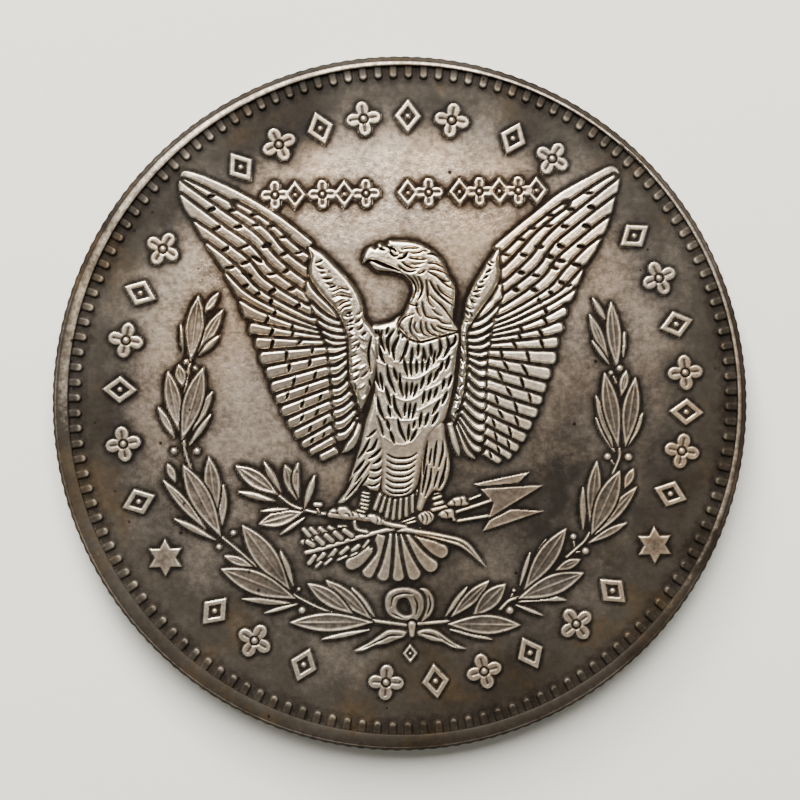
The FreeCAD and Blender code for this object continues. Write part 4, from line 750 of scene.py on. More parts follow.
# Arrows: outlines of the heads; width and line of each shaft and barb
ARROW_HEADS = [
    [(3.65, -4.78), (6.8, -4.18), (6.15, -4.78), (4.05, -4.92)],
    [(4.05, -5.05), (7.55, -4.92), (4.45, -6.7), (4.75, -5.85)],
    [(4.5, -6.8), (5.75, -6.2), (7.5, -6.35), (4.1, -7.4)],
]
ARROW_SHAFTS = [
    (0.14, (3.45, -5.62), (4.05, -5.4)), (0.2, (2.6, -6.32), (3.5, -6.05), (4.6, -5.72)),
    (0.2, (2.8, -6.78), (3.6, -6.66), (4.4, -6.55)),
    (0.27, (-5.55, -8.32), (-4.28, -8.01), (-2.8, -7.58), (-1.31, -7.23), (-0.3, -7.02)),
    (0.1, (-0.5, -6.86), (0.42, -6.54)), (0.13, (-0.6, -7.0), (0.46, -6.74)),
]
FLETCHING = [
    (0.2, (-5.66, -7.05), (-5.36, -7.4)), (0.2, (-5.25, -7.03), (-4.95, -7.36)),
    (0.2, (-4.76, -7.02), (-4.46, -7.28)), (0.18, (-4.26, -6.98), (-3.94, -7.15)),
    (0.12, (-3.76, -6.94), (-3.36, -6.96)), (0.22, (-5.72, -7.74), (-5.22, -7.72)),
    (0.24, (-5.46, -7.74), (-5.18, -7.92)), (0.24, (-4.95, -7.54), (-4.65, -7.84)),
    (0.24, (-4.44, -7.42), (-4.14, -7.7)), (0.24, (-3.95, -7.28), (-3.62, -7.58)),
    (0.24, (-3.44, -7.16), (-3.06, -7.44)), (0.2, (-5.1, -8.52), (-5.4, -8.9)),
    (0.2, (-4.6, -8.42), (-4.88, -8.74)), (0.2, (-3.96, -8.22), (-4.25, -8.58)),
    (0.2, (-3.3, -8.12), (-3.64, -8.4)), (0.2, (-2.7, -8.02), (-3.0, -8.26)),
    (0.14, (-2.14, -7.76), (-2.42, -8.1)), (0.14, (-4.76, -8.86), (-5.02, -9.1)),
    (0.14, (-4.2, -8.7), (-4.52, -8.96)), (0.12, (-3.36, -8.56), (-3.82, -8.76)),
    (0.12, (-2.78, -8.4), (-3.1, -8.55)), (0.12, (-1.96, -8.2), (-2.5, -8.4)),
]
# Feet: width and line of each shank ring and claw, outlines of the toes, and the cuts in them
LEFT_FOOT_STROKES = [
    (0.2, (-2.88, -6.5), (-2.85, -6.95), (-2.7, -7.14), (-2.2, -7.26)),
    (0.16, (-2.46, -5.5), (-2.1, -5.58)), (0.17, (-2.5, -5.72), (-2.14, -5.8)),
    (0.16, (-2.48, -5.92), (-2.18, -6.0)), (0.15, (-2.7, -6.08), (-2.32, -6.18)),
    (0.14, (-2.44, -5.28), (-2.08, -5.38)), (0.12, (-2.4, -5.1), (-2.05, -5.18)),
]
LEFT_FOOT_LUMPS = [
    [(-4.28, -6.08), (-4.06, -5.93), (-3.83, -5.97), (-3.72, -5.84), (-3.31, -5.84),
     (-3.17, -5.97), (-3.02, -6.08), (-2.65, -6.2), (-2.24, -6.34), (-2.28, -6.58), (-2.65, -6.56),
     (-3.02, -6.56), (-3.39, -6.54), (-3.69, -6.41), (-3.91, -6.22), (-4.2, -6.22)],
    [(-2.2, -6.38), (-2.06, -6.27), (-1.76, -6.29), (-1.57, -6.41), (-1.39, -6.53), (-1.2, -6.67),
     (-1.31, -6.84), (-1.46, -6.92), (-1.69, -6.9), (-1.91, -6.79), (-2.13, -6.6)],
]
RIGHT_FOOT_STROKES = [
    (0.2, (1.47, -5.54), (1.86, -5.42)), (0.24, (1.54, -5.84), (1.94, -5.74)),
    (0.15, (1.5, -5.26), (1.8, -5.2)), (0.26, (1.4, -6.16), (2.2, -5.98)),
]
RIGHT_FOOT_LUMPS = [
    [(0.57, -6.45), (0.8, -6.24), (1.13, -6.17), (1.43, -6.34), (1.5, -6.56), (1.35, -6.82),
     (1.06, -6.99), (0.8, -6.9), (0.65, -6.71)],
    [(2.2, -5.82), (2.5, -5.56), (2.69, -5.47), (3.2, -5.43), (3.28, -5.71), (3.43, -5.86),
     (3.2, -5.97), (2.69, -5.99), (2.31, -5.97)],
    [(1.69, -6.41), (1.94, -6.16), (2.39, -6.08), (2.57, -6.19), (2.61, -6.53), (2.69, -6.75),
     (2.5, -6.82), (2.43, -6.64), (2.17, -6.67), (1.87, -6.6)],
]
FOOT_CUTS = [
    (0.08, 0.12, (1.02, -6.18), (1.28, -6.4), (1.34, -6.74)),
    (0.07, 0.1, (0.72, -6.34), (0.86, -6.6), (0.8, -6.88)),
    (0.07, 0.1, (0.92, -6.24), (1.1, -6.55), (1.04, -6.94)),
    (0.08, 0.1, (-3.86, -5.96), (-3.8, -6.2), (-3.66, -6.42)),
    (0.07, 0.08, (-3.4, -6.22), (-3.18, -6.3), (-3.1, -6.54)),
    (0.08, 0.1, (-3.06, -6.06), (-2.96, -6.3), (-2.98, -6.56)),
    (0.07, 0.08, (-2.72, -6.18), (-2.62, -6.38), (-2.66, -6.56)),
    (0.07, 0.08, (-1.72, -6.34), (-1.6, -6.56), (-1.68, -6.86)),
    (0.07, 0.08, (-1.46, -6.5), (-1.38, -6.66), (-1.46, -6.84)),
    (0.07, 0.08, (2.44, -5.6), (2.62, -5.78), (2.6, -5.98)),
    (0.07, 0.08, (2.92, -5.46), (3.0, -5.7), (2.96, -5.98)),
    (0.07, 0.08, (2.02, -6.2), (2.2, -6.36), (2.24, -6.62)),
]
# Bow: outlines of the ribbon's parts, and width and line of its folds
BOW_LOOP = [
    (-1.34, -11.2), (-1.2, -10.65), (-0.7, -10.36), (0.0, -10.33), (0.6, -10.6), (0.85, -11.1),
    (0.78, -11.7), (0.35, -12.25), (-0.1, -12.2), (-0.75, -12.05), (-1.2, -11.75),
]
BOW_HOLE = [
    (-0.66, -11.4), (-0.52, -11.02), (-0.15, -10.96), (0.04, -11.3), (0.1, -11.75), (-0.2, -11.84),
    (-0.52, -11.7),
]
BOW_BACK_LOOP = [
    (0.55, -10.42), (1.0, -10.42), (1.33, -10.85), (1.38, -11.4), (1.15, -11.95), (0.6, -12.3),
    (0.85, -11.7), (0.95, -11.1), (0.8, -10.65),
]
BOW_TAILS = [
    [(-0.15, -12.75), (-0.6, -12.62), (-1.2, -12.62), (-1.75, -12.95), (-2.3, -13.32),
     (-3.1, -13.72), (-2.6, -13.78), (-1.95, -13.5), (-1.3, -13.42), (-0.7, -13.2), (-0.3, -13.05)],
    [(0.4, -12.75), (0.9, -12.6), (1.5, -12.72), (1.95, -13.05), (2.4, -13.4), (3.1, -13.78),
     (2.4, -13.74), (1.8, -13.42), (1.2, -13.32), (0.7, -13.1), (0.45, -13.0)],
]
BOW_FOLDS = [
    (0.09, (-1.0, -11.35), (-0.85, -10.85), (-0.35, -10.66), (0.2, -10.7)),
    (0.09, (0.28, -10.85), (0.45, -11.3), (0.35, -11.85)), (0.08, (-0.95, -11.75), (-0.35, -12.02)),
    (0.08, (1.1, -10.85), (1.17, -11.35), (0.98, -11.85)),
    (0.09, (-0.45, -12.95), (-1.1, -12.95), (-1.7, -13.25)),
    (0.08, (-1.5, -13.1), (-2.1, -13.4), (-2.6, -13.6)),
    (0.09, (0.65, -12.85), (1.25, -12.98), (1.7, -13.2)),
    (0.08, (1.6, -13.02), (2.1, -13.4), (2.6, -13.66)),
]

# Ornaments and border: directions in degrees from the right, counted to the left over the top
UPPER_ANGLES = [200, 188, 177, 167, 157, 147, 124, 115, 106, 97, 88, 79, 66, 57, 34, 24, 14, 4,
                -4, -12, -21]
LOWER_ANGLES = [227, 237, 248, 265, 275, 285, 295, 306, 316]
ORNAMENT_CIRCLE = 15.55
ORNAMENT_SIZE = 1.8
MOTTO_PLACES = [-6.85, -5.75, -4.25, -3.05, -1.85, 0.45, 1.6, 3.3, 4.4, 5.5, 6.55, 7.55]
MOTTO_HEIGHT = 11.3
MOTTO_SIZE = 1.5
SMALL_MARK_HEIGHT = -13.95
SMALL_MARK_SIZE = 1.0
SIDE_STAR_RADIUS = 1.07
SIDE_STAR_INNER = 0.57          # inner corners, as a share of the radius
LEFT_STAR_PLACE = (-13.23, -8.41)
RIGHT_STAR_PLACE = (13.56, -8.36)

BEAD_COUNT = 135
BEAD_HALF_WIDTH = 0.25
BEAD_END_CENTRE = 17.86         # where the round inner end of a bead has its centre
BEAD_REACH = 18.46              # the beads run on under the rim to here
BEAD_FALL_START = 17.8          # from here outwards the beads get lower
BEAD_FALL_LENGTH = 0.35
BEAD_AREA_START = 17.4          # everything nearer the middle is left clear of beads

BACK_STAR_RADIUS = 6.6
BACK_STAR_INNER = 0.42
BACK_RING_RADIUS = 10.2
BACK_RING_HALF_WIDTH = 0.25
BACK_STAR_CIRCLE = 14.4
BACK_SMALL_STAR_RADIUS = 0.95
BACK_SMALL_STAR_COUNT = 12

REED_COUNT = 180
REED_DEPTH = 0.08
# The rim's worn shoulder, with a thin lip outside a shallow groove: in from the outer edge,
# down from the top, how much of the reeds shows, shade, brown film, and the painted shade added as
# film on the lower-left side (below 0 the lip is painted brighter there)
RIM_SHOULDER = [
    (0.36, 0.0, 0.0, 0.6, 0.9, 0.6), (0.28, 0.04, 0.0, 0.2, 1.2, 0.2),
    (0.2, 0.03, 0.0, 0.5, 0.85, -0.2), (0.11, 0.055, 0.1, 0.25, 1.1, 0.1),
    (0.02, 0.16, 0.4, 0.22, 1.15, 0.1), (0.0, 0.3, 1.0, 0.58, 0.7, 0.2),
]


def wing(feathers, breaks, outline):
    """The flight feathers of one wing, with the leading edge."""
    canvas = blank()
    packed(canvas, feathers, FEATHER_HEIGHT, groove_width=0.14, tip=0.38, outline=outline)
    for x, y, angle, length, width in breaks:
        notch(canvas, x, y, angle, length * 1.2, width * 1.2)
    return canvas


def coverts(rows):
    canvas = blank()
    packed(canvas, rows, COVERT_HEIGHT, groove_width=0.13, bevel=0.12, tip=0.8, lean=0.16)
    return canvas


def arm(outline, cuts, ridges):
    """The upper arm of a wing: a smooth leading edge, with short curled down behind it."""
    canvas = blank()
    plateau(canvas, curve_through(outline, closed=True), ARM_HEIGHT, bevel=0.28)
    for width, rise, *points in ridges:
        ridge(canvas, width, rise, *points)
    for width, depth, *points in cuts:
        groove(canvas, width * 0.9, depth * 1.3, *points)
    return canvas


def head():
    canvas = blank()
    plateau(canvas, curve_through(HEAD, closed=True, steps=4), HEAD_HEIGHT, bevel=0.22)
    for width, depth, *points in HEAD_CUTS:
        groove(canvas, width, depth, *points)
    # the eye: a dint, with a small lump above it
    bump(canvas, -0.05, 7.95, 0.10, -0.05)
    bump(canvas, 0.00, 8.06, 0.05, 0.04)
    return canvas


def breast():
    """A full breast of overlapping pointed feathers, above a belly with curved bands."""
    canvas = blank()
    plateau(canvas, curve_through(BREAST, closed=True, steps=4), BREAST_HEIGHT, bevel=0.35)
    for width, rise, *points in BREAST_RIDGES:
        ridge(canvas, width, rise, *points)
    for width, *points in BREAST_SLITS:
        groove(canvas, width * 1.35, 0.20, *points)
    for number, y in enumerate((-3.25, -3.58, -3.92, -4.25, -4.58, -4.9, -5.18)):
        middle = -0.20 - 0.04 * number
        half = 0.80 - 0.02 * number
        groove(canvas, 0.10, 0.17, (middle - half, y + 0.20), (middle - half * 0.45, y),
               (middle + half * 0.45, y), (middle + half, y + 0.22))
    return canvas


def leg(thigh, strokes, lumps):
    """A feathered thigh over a ringed shank, with knuckles and claws below."""
    canvas = blank()
    for width, *points in strokes:
        stem(canvas, width, *points, height=LEG_HEIGHT * 0.85)
    for outline in lumps:
        plateau(canvas, curve_through(outline, closed=True, steps=3), LEG_HEIGHT, 0.14, gap=0.05)
    for width, depth, *points in FOOT_CUTS:
        groove(canvas, width, depth, *points)
    upper = blank()
    plateau(upper, curve_through(thigh, closed=True, steps=4), LEG_HEIGHT, bevel=0.30)
    for width, depth, *points in LEG_CUTS:
        groove(upper, width * 1.2, depth * 1.3, *points)
    tuck(canvas, upper)
    return np.maximum(canvas, upper)


def tail():
    canvas = blank()
    packed(canvas, TAIL_FEATHERS, TAIL_HEIGHT, groove_width=0.16, bevel=0.11, lean=0)
    rump = blank()
    packed(rump, RUMP_FEATHERS, TAIL_HEIGHT * 1.1, groove_width=0.11, bevel=0.07, lean=0)
    tuck(canvas, rump)
    return np.maximum(canvas, rump)


def olive_branch():
    canvas = blank()
    stem(canvas, 0.16, (-7.05, -5.10), (-6.3, -5.7), (-5.60, -5.98))
    stem(canvas, 0.18, (-5.60, -5.98), (-4.90, -6.15), (-4.20, -6.28), height=BRANCH_HEIGHT)
    stem(canvas, 0.34, (-4.20, -6.28), (-3.40, -6.42), (-2.60, -6.50), (-1.60, -6.68),
         (-0.90, -6.90), (-0.10, -7.06), height=BRANCH_HEIGHT, end_width=0.26)
    blade = [(-0.10, -7.05), (0.50, -7.18), (1.20, -7.30), (2.00, -7.48), (2.80, -7.68),
             (3.30, -7.95), (3.70, -8.42), (4.30, -9.40), (3.55, -8.75), (2.90, -8.25),
             (2.00, -7.92), (1.00, -7.62), (0.10, -7.38), (-0.60, -7.30)]
    plateau(canvas, curve_through(blade, closed=True, steps=4), BRANCH_HEIGHT * 1.1, bevel=0.12)
    groove(canvas, 0.10, 0.06, (0.6, -7.42), (2.0, -7.72), (3.0, -8.05), (3.9, -8.95))
    for row in OLIVE_LEAVES:
        leaf(canvas, *row, height=BRANCH_HEIGHT)
    stem(canvas, 0.13, (-4.96, -5.80), (-4.80, -6.12))
    stem(canvas, 0.28, (-5.00, -5.70), (-4.72, -5.72), height=BERRY_HEIGHT)
    return canvas


def arrows():
    canvas = blank()
    for row in ARROW_SHAFTS:
        stem(canvas, *row, height=ARROW_HEIGHT)
    for corners in ARROW_HEADS:
        plateau(canvas, corners, ARROW_HEIGHT * 0.7, bevel=0.07)
        for (x0, y0), (x1, y1) in zip(corners, corners[1:] + corners[:1]):
            ridge(canvas, 0.09, ARROW_HEIGHT * 0.5, (x0, y0), (x1, y1))
    for width, *points in FLETCHING:
        stem(canvas, width * 1.4, *points, height=ARROW_HEIGHT)
    return canvas


def bow():
    """A tied ribbon: a broad loop with another behind it, an upright knot and two tails."""
    canvas = blank()
    plateau(canvas, curve_through(BOW_BACK_LOOP, closed=True, steps=4), BOW_HEIGHT * 0.8, 0.14)
    loop, hole = (curve_through(line, closed=True, steps=4) for line in (BOW_LOOP, BOW_HOLE))
    place, grid_x, grid_y = window(loop, 0.3)
    edge = np.minimum(inside_distance(grid_x, grid_y, loop),
                      -inside_distance(grid_x, grid_y, hole))
    lay(canvas, place, edge, BOW_HEIGHT * rounded(edge, 0.16), gap=0.06)
    for tail_line in BOW_TAILS:
        plateau(canvas, curve_through(tail_line, closed=True, steps=4), BOW_HEIGHT, 0.14)
    for width, *points in BOW_FOLDS:
        groove(canvas, width, 0.08, *points)
    berry(canvas, 0.13, -12.42, 0.3, BOW_HEIGHT * 1.2)
    stem(canvas, 0.5, (0.13, -12.4), (0.12, -12.95), height=BOW_HEIGHT * 1.2, end_width=0.3)
    return canvas


def wreath(stems, leaves, berries):
    canvas = blank()
    for row in stems:
        stem(canvas, *row, height=LEAF_HEIGHT * 0.8)
    for row in leaves:
        leaf(canvas, *row)
    for row in berries:
        berry(canvas, *row)
    return canvas


def star_corners(x, y, radius, points, inner_share, turn=90.0):
    corners = []
    for step in range(2 * points):
        reach = radius if step % 2 == 0 else radius * inner_share
        angle = radians(turn) + pi * step / points
        corners.append((x + reach * cos(angle), y + reach * sin(angle)))
    return corners


def star(x, y):
    canvas = blank()
    corners = star_corners(x, y, SIDE_STAR_RADIUS, 6, SIDE_STAR_INNER)
    plateau(canvas, corners, STAR_HEIGHT, bevel=0.08)
    return canvas


def lozenge(canvas, x, y, turn, size):
    """An upright open lozenge with a round boss in it."""
    place, grid_x, grid_y = window([(x, y)], size * 0.75)
    outer = inside_distance(grid_x, grid_y, star_corners(x, y, size * 0.55, 2, 0.78, turn))
    hole = inside_distance(grid_x, grid_y, star_corners(x, y, size * 0.27, 2, 0.78, turn))
    edge = np.minimum(outer, -hole)
    lay(canvas, place, edge, ORNAMENT_HEIGHT * rounded(edge, 0.07))
    berry(canvas, x, y, size * 0.09, ORNAMENT_HEIGHT)


def floret(canvas, x, y, turn, size):
    """Four leaves round a boss."""
    for quarter in range(4):
        angle = radians(turn + 90 * quarter)
        tip = (x + size * 0.54 * cos(angle), y + size * 0.54 * sin(angle))
        line = [tip, (x, y)]
        place, grid_x, grid_y = window(line, size / 2)
        share, off, _ = along(grid_x, grid_y, line)
        edge = size * 0.2 * np.sin(pi * np.clip(share, 0, 1) ** 0.8) ** 0.6 + 0.02 - off
        form = ORNAMENT_HEIGHT * rounded(edge, 0.07)
        form = form - 0.35 * ORNAMENT_HEIGHT * np.exp(-(off / 0.06) ** 2) * (share > 0.25)
        lay(canvas, place, edge, form)
    berry(canvas, x, y, size * 0.12, ORNAMENT_HEIGHT * 1.15)


def ornament_arc(angles):
    canvas = blank()
    for number, angle in enumerate(angles):
        x, y = ORNAMENT_CIRCLE * cos(radians(angle)), ORNAMENT_CIRCLE * sin(radians(angle))
        make = lozenge if number % 2 == 0 else floret
        make(canvas, x, y, angle, ORNAMENT_SIZE)
    return canvas


def small_mark():
    canvas = blank()
    lozenge(canvas, 0, SMALL_MARK_HEIGHT, 90, SMALL_MARK_SIZE)
    return canvas


def motto_row():
    canvas = blank()
    for number, x in enumerate(MOTTO_PLACES):
        make = floret if number % 2 == 0 else lozenge
        make(canvas, x, MOTTO_HEIGHT, 90, MOTTO_SIZE)
    return canvas


def border_beads():
    """Short flat radial tabs with rounded inner ends, all the way round."""
    grid_x, grid_y = np.meshgrid(AXIS, AXIS)
    radius = np.hypot(grid_x, grid_y)
    turn = np.arctan2(grid_y, grid_x) / (2 * pi) * BEAD_COUNT
    across = (turn - np.round(turn)) * 2 * pi * radius / BEAD_COUNT
    past_end = np.clip(BEAD_END_CENTRE - radius, 0, None)
    edge = BEAD_HALF_WIDTH - np.hypot(across, past_end)
    edge = np.minimum(edge, DRAWN_BEAD_RING + 0.2 - radius)
    lower_outside = 1 - 0.3 * np.clip((radius - BEAD_FALL_START) / BEAD_FALL_LENGTH, 0, 1)
    form = BEAD_HEIGHT * rounded(edge, 0.13) * lower_outside
    canvas = np.where(edge > 0, form, np.maximum(edge * WALL_SLOPE, BURIED))
    in_area = (radius > BEAD_AREA_START) & (radius < BEAD_REACH)
    return np.where(in_area, canvas, BURIED).astype(np.float32)


def back_device():
    """A faceted star inside a plain ring."""
    canvas = blank()
    corners = star_corners(0, 0, BACK_STAR_RADIUS, 5, BACK_STAR_INNER)
    plateau(canvas, corners, BACK_STAR_HEIGHT, bevel=0.5)
    reach = BACK_STAR_RADIUS - 1
    for step in range(5):
        angle = radians(90 + 72 * step)
        groove(canvas, 0.2, 0.05, (0, 0), (reach * cos(angle), reach * sin(angle)))
    place, grid_x, grid_y = window([(0, 0)], BACK_RING_RADIUS + 0.6)
    edge = BACK_RING_HALF_WIDTH - np.abs(np.hypot(grid_x, grid_y) - BACK_RING_RADIUS)
    lay(canvas, place, edge, BACK_RELIEF_HEIGHT * rounded(edge, BACK_RING_HALF_WIDTH))
    return canvas


def back_small_stars():
    canvas = blank()
    for number in range(BACK_SMALL_STAR_COUNT):
        angle = 2 * pi * number / BACK_SMALL_STAR_COUNT
        corners = star_corners(BACK_STAR_CIRCLE * cos(angle), BACK_STAR_CIRCLE * sin(angle),
                               BACK_SMALL_STAR_RADIUS, 5, BACK_STAR_INNER, degrees(angle))
        plateau(canvas, corners, BACK_RELIEF_HEIGHT, bevel=0.3)
    return canvas


# ---- shade: where the metal is dark, dull or rubbed bright, with painted shade in the grooves and round the relief ---

BORDER_START, BORDER_BLEND = 17.1, 0.4          # ring where the shade turns to the border's
TARNISH_START, TARNISH_BLEND = 12.4, 4.6        # ring where the border's dark film begins


def blurred(heights, spread):
    """A soft average over spread millimetres, through the Fourier transform."""
    rows, columns = heights.shape
    fy, fx = np.fft.fftfreq(rows, PITCH)[:, None], np.fft.rfftfreq(columns, PITCH)[None, :]
    soft = np.exp(-2 * (pi * spread) ** 2 * (fx ** 2 + fy ** 2))
    return np.fft.irfft2(np.fft.rfft2(heights) * soft, s=heights.shape)


def shade_of(total):
    """0 in the grooves, dark with patina and painted shade, about 0.45 on a plain field, lower next
    to the relief with painted shade, 1 on rubbed ridges.
    """
    fine = np.clip(total - blurred(total, 0.08), -0.08, 0.035)
    broad = total - blurred(total, 0.28)
    cover = blurred((total > 0.02).astype(float), 0.16)
    open_field = np.clip(1 - total / 0.03, 0, 1)
    wear = np.clip(total - 0.18, -0.05, 0.10) * (1 - open_field)
    # painted shade: the field is darkened next to the relief, and more widely round it, where the
    # relief's shade falls
    near = np.clip(blurred((total > 0.02).astype(float), 0.75) * 1.4, 0, 1)
    painted_halo_shade = open_field * np.clip(cover * 1.7, 0, 1) + 0.28 * open_field * near
    shade = 0.45 + 7.5 * fine + 1.8 * broad + 1.1 * wear - 0.55 * painted_halo_shade
    grid_x, grid_y = np.meshgrid(AXIS, AXIS)
    border = np.clip((np.hypot(grid_x, grid_y) - BORDER_START) / BORDER_BLEND, 0, 1)
    shade = np.clip(shade, 0, 1)
    worn_end = 4.0 * np.clip(total - 0.18, 0, 0.06)
    return shade + border * (0.18 + 0.30 * shade + worn_end - shade)


def tarnish_and_shade_of(x, y):
    """How dark the metal has gone: most towards the border, with brown film, and low on the face
    and to the right, partly film and partly painted shade where the light falls off.
    """
    border = np.clip((np.hypot(x, y) - TARNISH_START) / TARNISH_BLEND, 0, 1)
    border = border * border * (3 - 2 * border)
    # painted shade in part: the metal is made darker towards the bottom and the right, where the
    # light falls off, as well as by its film
    low = np.clip((9.7 - y + 0.35 * x) / 17, 0, 1)
    return 1 - (1 - 0.95 * border) * (1 - 0.84 * low)


def sample(picture, x, y):
    """The grid's value at any points, in millimetres."""
    fx = np.clip((np.asarray(x) + REACH) / PITCH, 0, CELLS - 1.001)
    fy = np.clip((np.asarray(y) + REACH) / PITCH, 0, CELLS - 1.001)
    ix, iy = fx.astype(int), fy.astype(int)
    ax, ay = fx - ix, fy - iy
    return (picture[iy, ix] * (1 - ax) * (1 - ay) + picture[iy, ix + 1] * ax * (1 - ay)
            + picture[iy + 1, ix] * (1 - ax) * ay + picture[iy + 1, ix + 1] * ax * ay)


# How much of the brown film stays on pieces that are rubbed less than the others
FILM_SHARES = {"beads": 1.0, "breast": 0.74, "leg": 0.8, "wreath": 0.86, "branch": 0.6,
               "tail": 0.66, "arrow": 0.74, "right_wing": 0.56}
USUAL_FILM_SHARE = 0.48


# ---- meshes -------------------------------------------------------------------------------

def build_mesh(name, points, faces, shades, tarnish_and_shade, material):
    """A smooth-shaded object from arrays, with its shade, and its brown film with painted shade, on
    its points.
    """
    mesh = bpy.data.meshes.new(name)
    mesh.vertices.add(len(points))
    mesh.vertices.foreach_set("co", np.asarray(points, np.float32).ravel())
    sides = faces.shape[1]
    mesh.loops.add(faces.size)
    mesh.loops.foreach_set("vertex_index", faces.astype(np.int32).ravel())
    mesh.polygons.add(len(faces))
    mesh.polygons.foreach_set("loop_start", np.arange(0, faces.size, sides, dtype=np.int32))
    mesh.update(calc_edges=True)
    mesh.polygons.foreach_set("use_smooth", np.ones(len(faces), bool))
    for label, values in (("shade", shades), ("tarnish_and_shade", tarnish_and_shade)):
        layer = mesh.attributes.new(label, "FLOAT", "POINT")
        layer.data.foreach_set("value", np.asarray(values, np.float32))
    mesh.materials.append(material)
    obj = bpy.data.objects.new(name, mesh)
    bpy.context.scene.collection.objects.link(obj)
    return obj


def place_on_face(x, y, height, back):
    """Face coordinates and heights above the field, as points in metres in the shared frame."""
    level = BACK_LEVEL - height * MM if back else FRONT_LEVEL + height * MM
    return np.stack([CENTRE_X + x * MM * SCALE, CENTRE_Y + y * MM * SCALE,
                     np.broadcast_to(level, np.shape(x))], -1)


def cells_over(mask):
    """The grid cells that touch a mask: the rows and columns of their points, and their corners."""
    cells = mask[:-1, :-1] | mask[1:, :-1] | mask[:-1, 1:] | mask[1:, 1:]
    used = np.zeros(mask.shape, bool)
    used[:-1, :-1] |= cells
    used[1:, :-1] |= cells
    used[:-1, 1:] |= cells
    used[1:, 1:] |= cells
    number = np.cumsum(used).reshape(used.shape) - 1
    rows, columns = np.nonzero(used)
    row, column = np.nonzero(cells)
    corners = np.stack([number[row, column], number[row, column + 1],
                        number[row + 1, column + 1], number[row + 1, column]], 1)
    return rows, columns, corners


def relief_piece(name, node, canvas, shades, material, film_share, back=False):
    """The cells of the grid where a form stands up from the field, as one piece."""
    soft = canvas.copy()
    soft[1:-1, 1:-1] = (canvas[1:-1, 1:-1] * 4 + canvas[:-2, 1:-1] + canvas[2:, 1:-1]
                        + canvas[1:-1, :-2] + canvas[1:-1, 2:]) / 8
    rows, columns, corners = cells_over(soft > 0)
    points = place_on_face(AXIS[columns], AXIS[rows], soft[rows, columns], back)
    faces = corners[:, ::-1] if back else corners
    tarnish_and_shade = tarnish_and_shade_of(AXIS[columns], AXIS[rows]) * film_share
    obj = build_mesh(name, points, faces, shades[rows, columns], tarnish_and_shade, material)
    finish_piece(obj, node)


def finish_piece(obj, node):
    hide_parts(node)
    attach(obj, "root")


def field_disc(name, node, front_shades, back_shades, material):
    """The planchet: both fields as fine grids, joined by a wall under the rim."""
    pitch = FIELD_PITCH
    radius = DRAWN_RIM_INNER + 0.03
    axis = np.arange(-radius - pitch, radius + 2 * pitch, pitch)
    grid_x, grid_y = np.meshgrid(axis, axis)
    rows, columns, quads = cells_over(np.hypot(grid_x, grid_y) < radius)
    x, y = axis[columns], axis[rows]
    pull = np.minimum(1, radius / np.maximum(np.hypot(x, y), 1e-9))
    x, y = x * pull, y * pull
    top = place_on_face(x, y, 0, back=False)
    bottom = place_on_face(x, y, 0, back=True)

    # the sides that only one cell has are the border, where the wall stands
    sides = np.concatenate([quads[:, [i, (i + 1) % 4]] for i in range(4)])
    _, first, uses = np.unique(np.sort(sides, 1), axis=0, return_index=True, return_counts=True)
    border = sides[first[uses == 1]]
    count = len(x)
    wall = np.stack([border[:, 1], border[:, 0], border[:, 0] + count, border[:, 1] + count], 1)
    faces = np.concatenate([quads, quads[:, ::-1] + count, wall])
    shades = np.concatenate([sample(front_shades, x, y), sample(back_shades, x, y)])
    tarnish_and_shade = np.tile(tarnish_and_shade_of(x, y), 2)
    obj = build_mesh(name, np.concatenate([top, bottom]), faces, shades, tarnish_and_shade, material)
    finish_piece(obj, node)


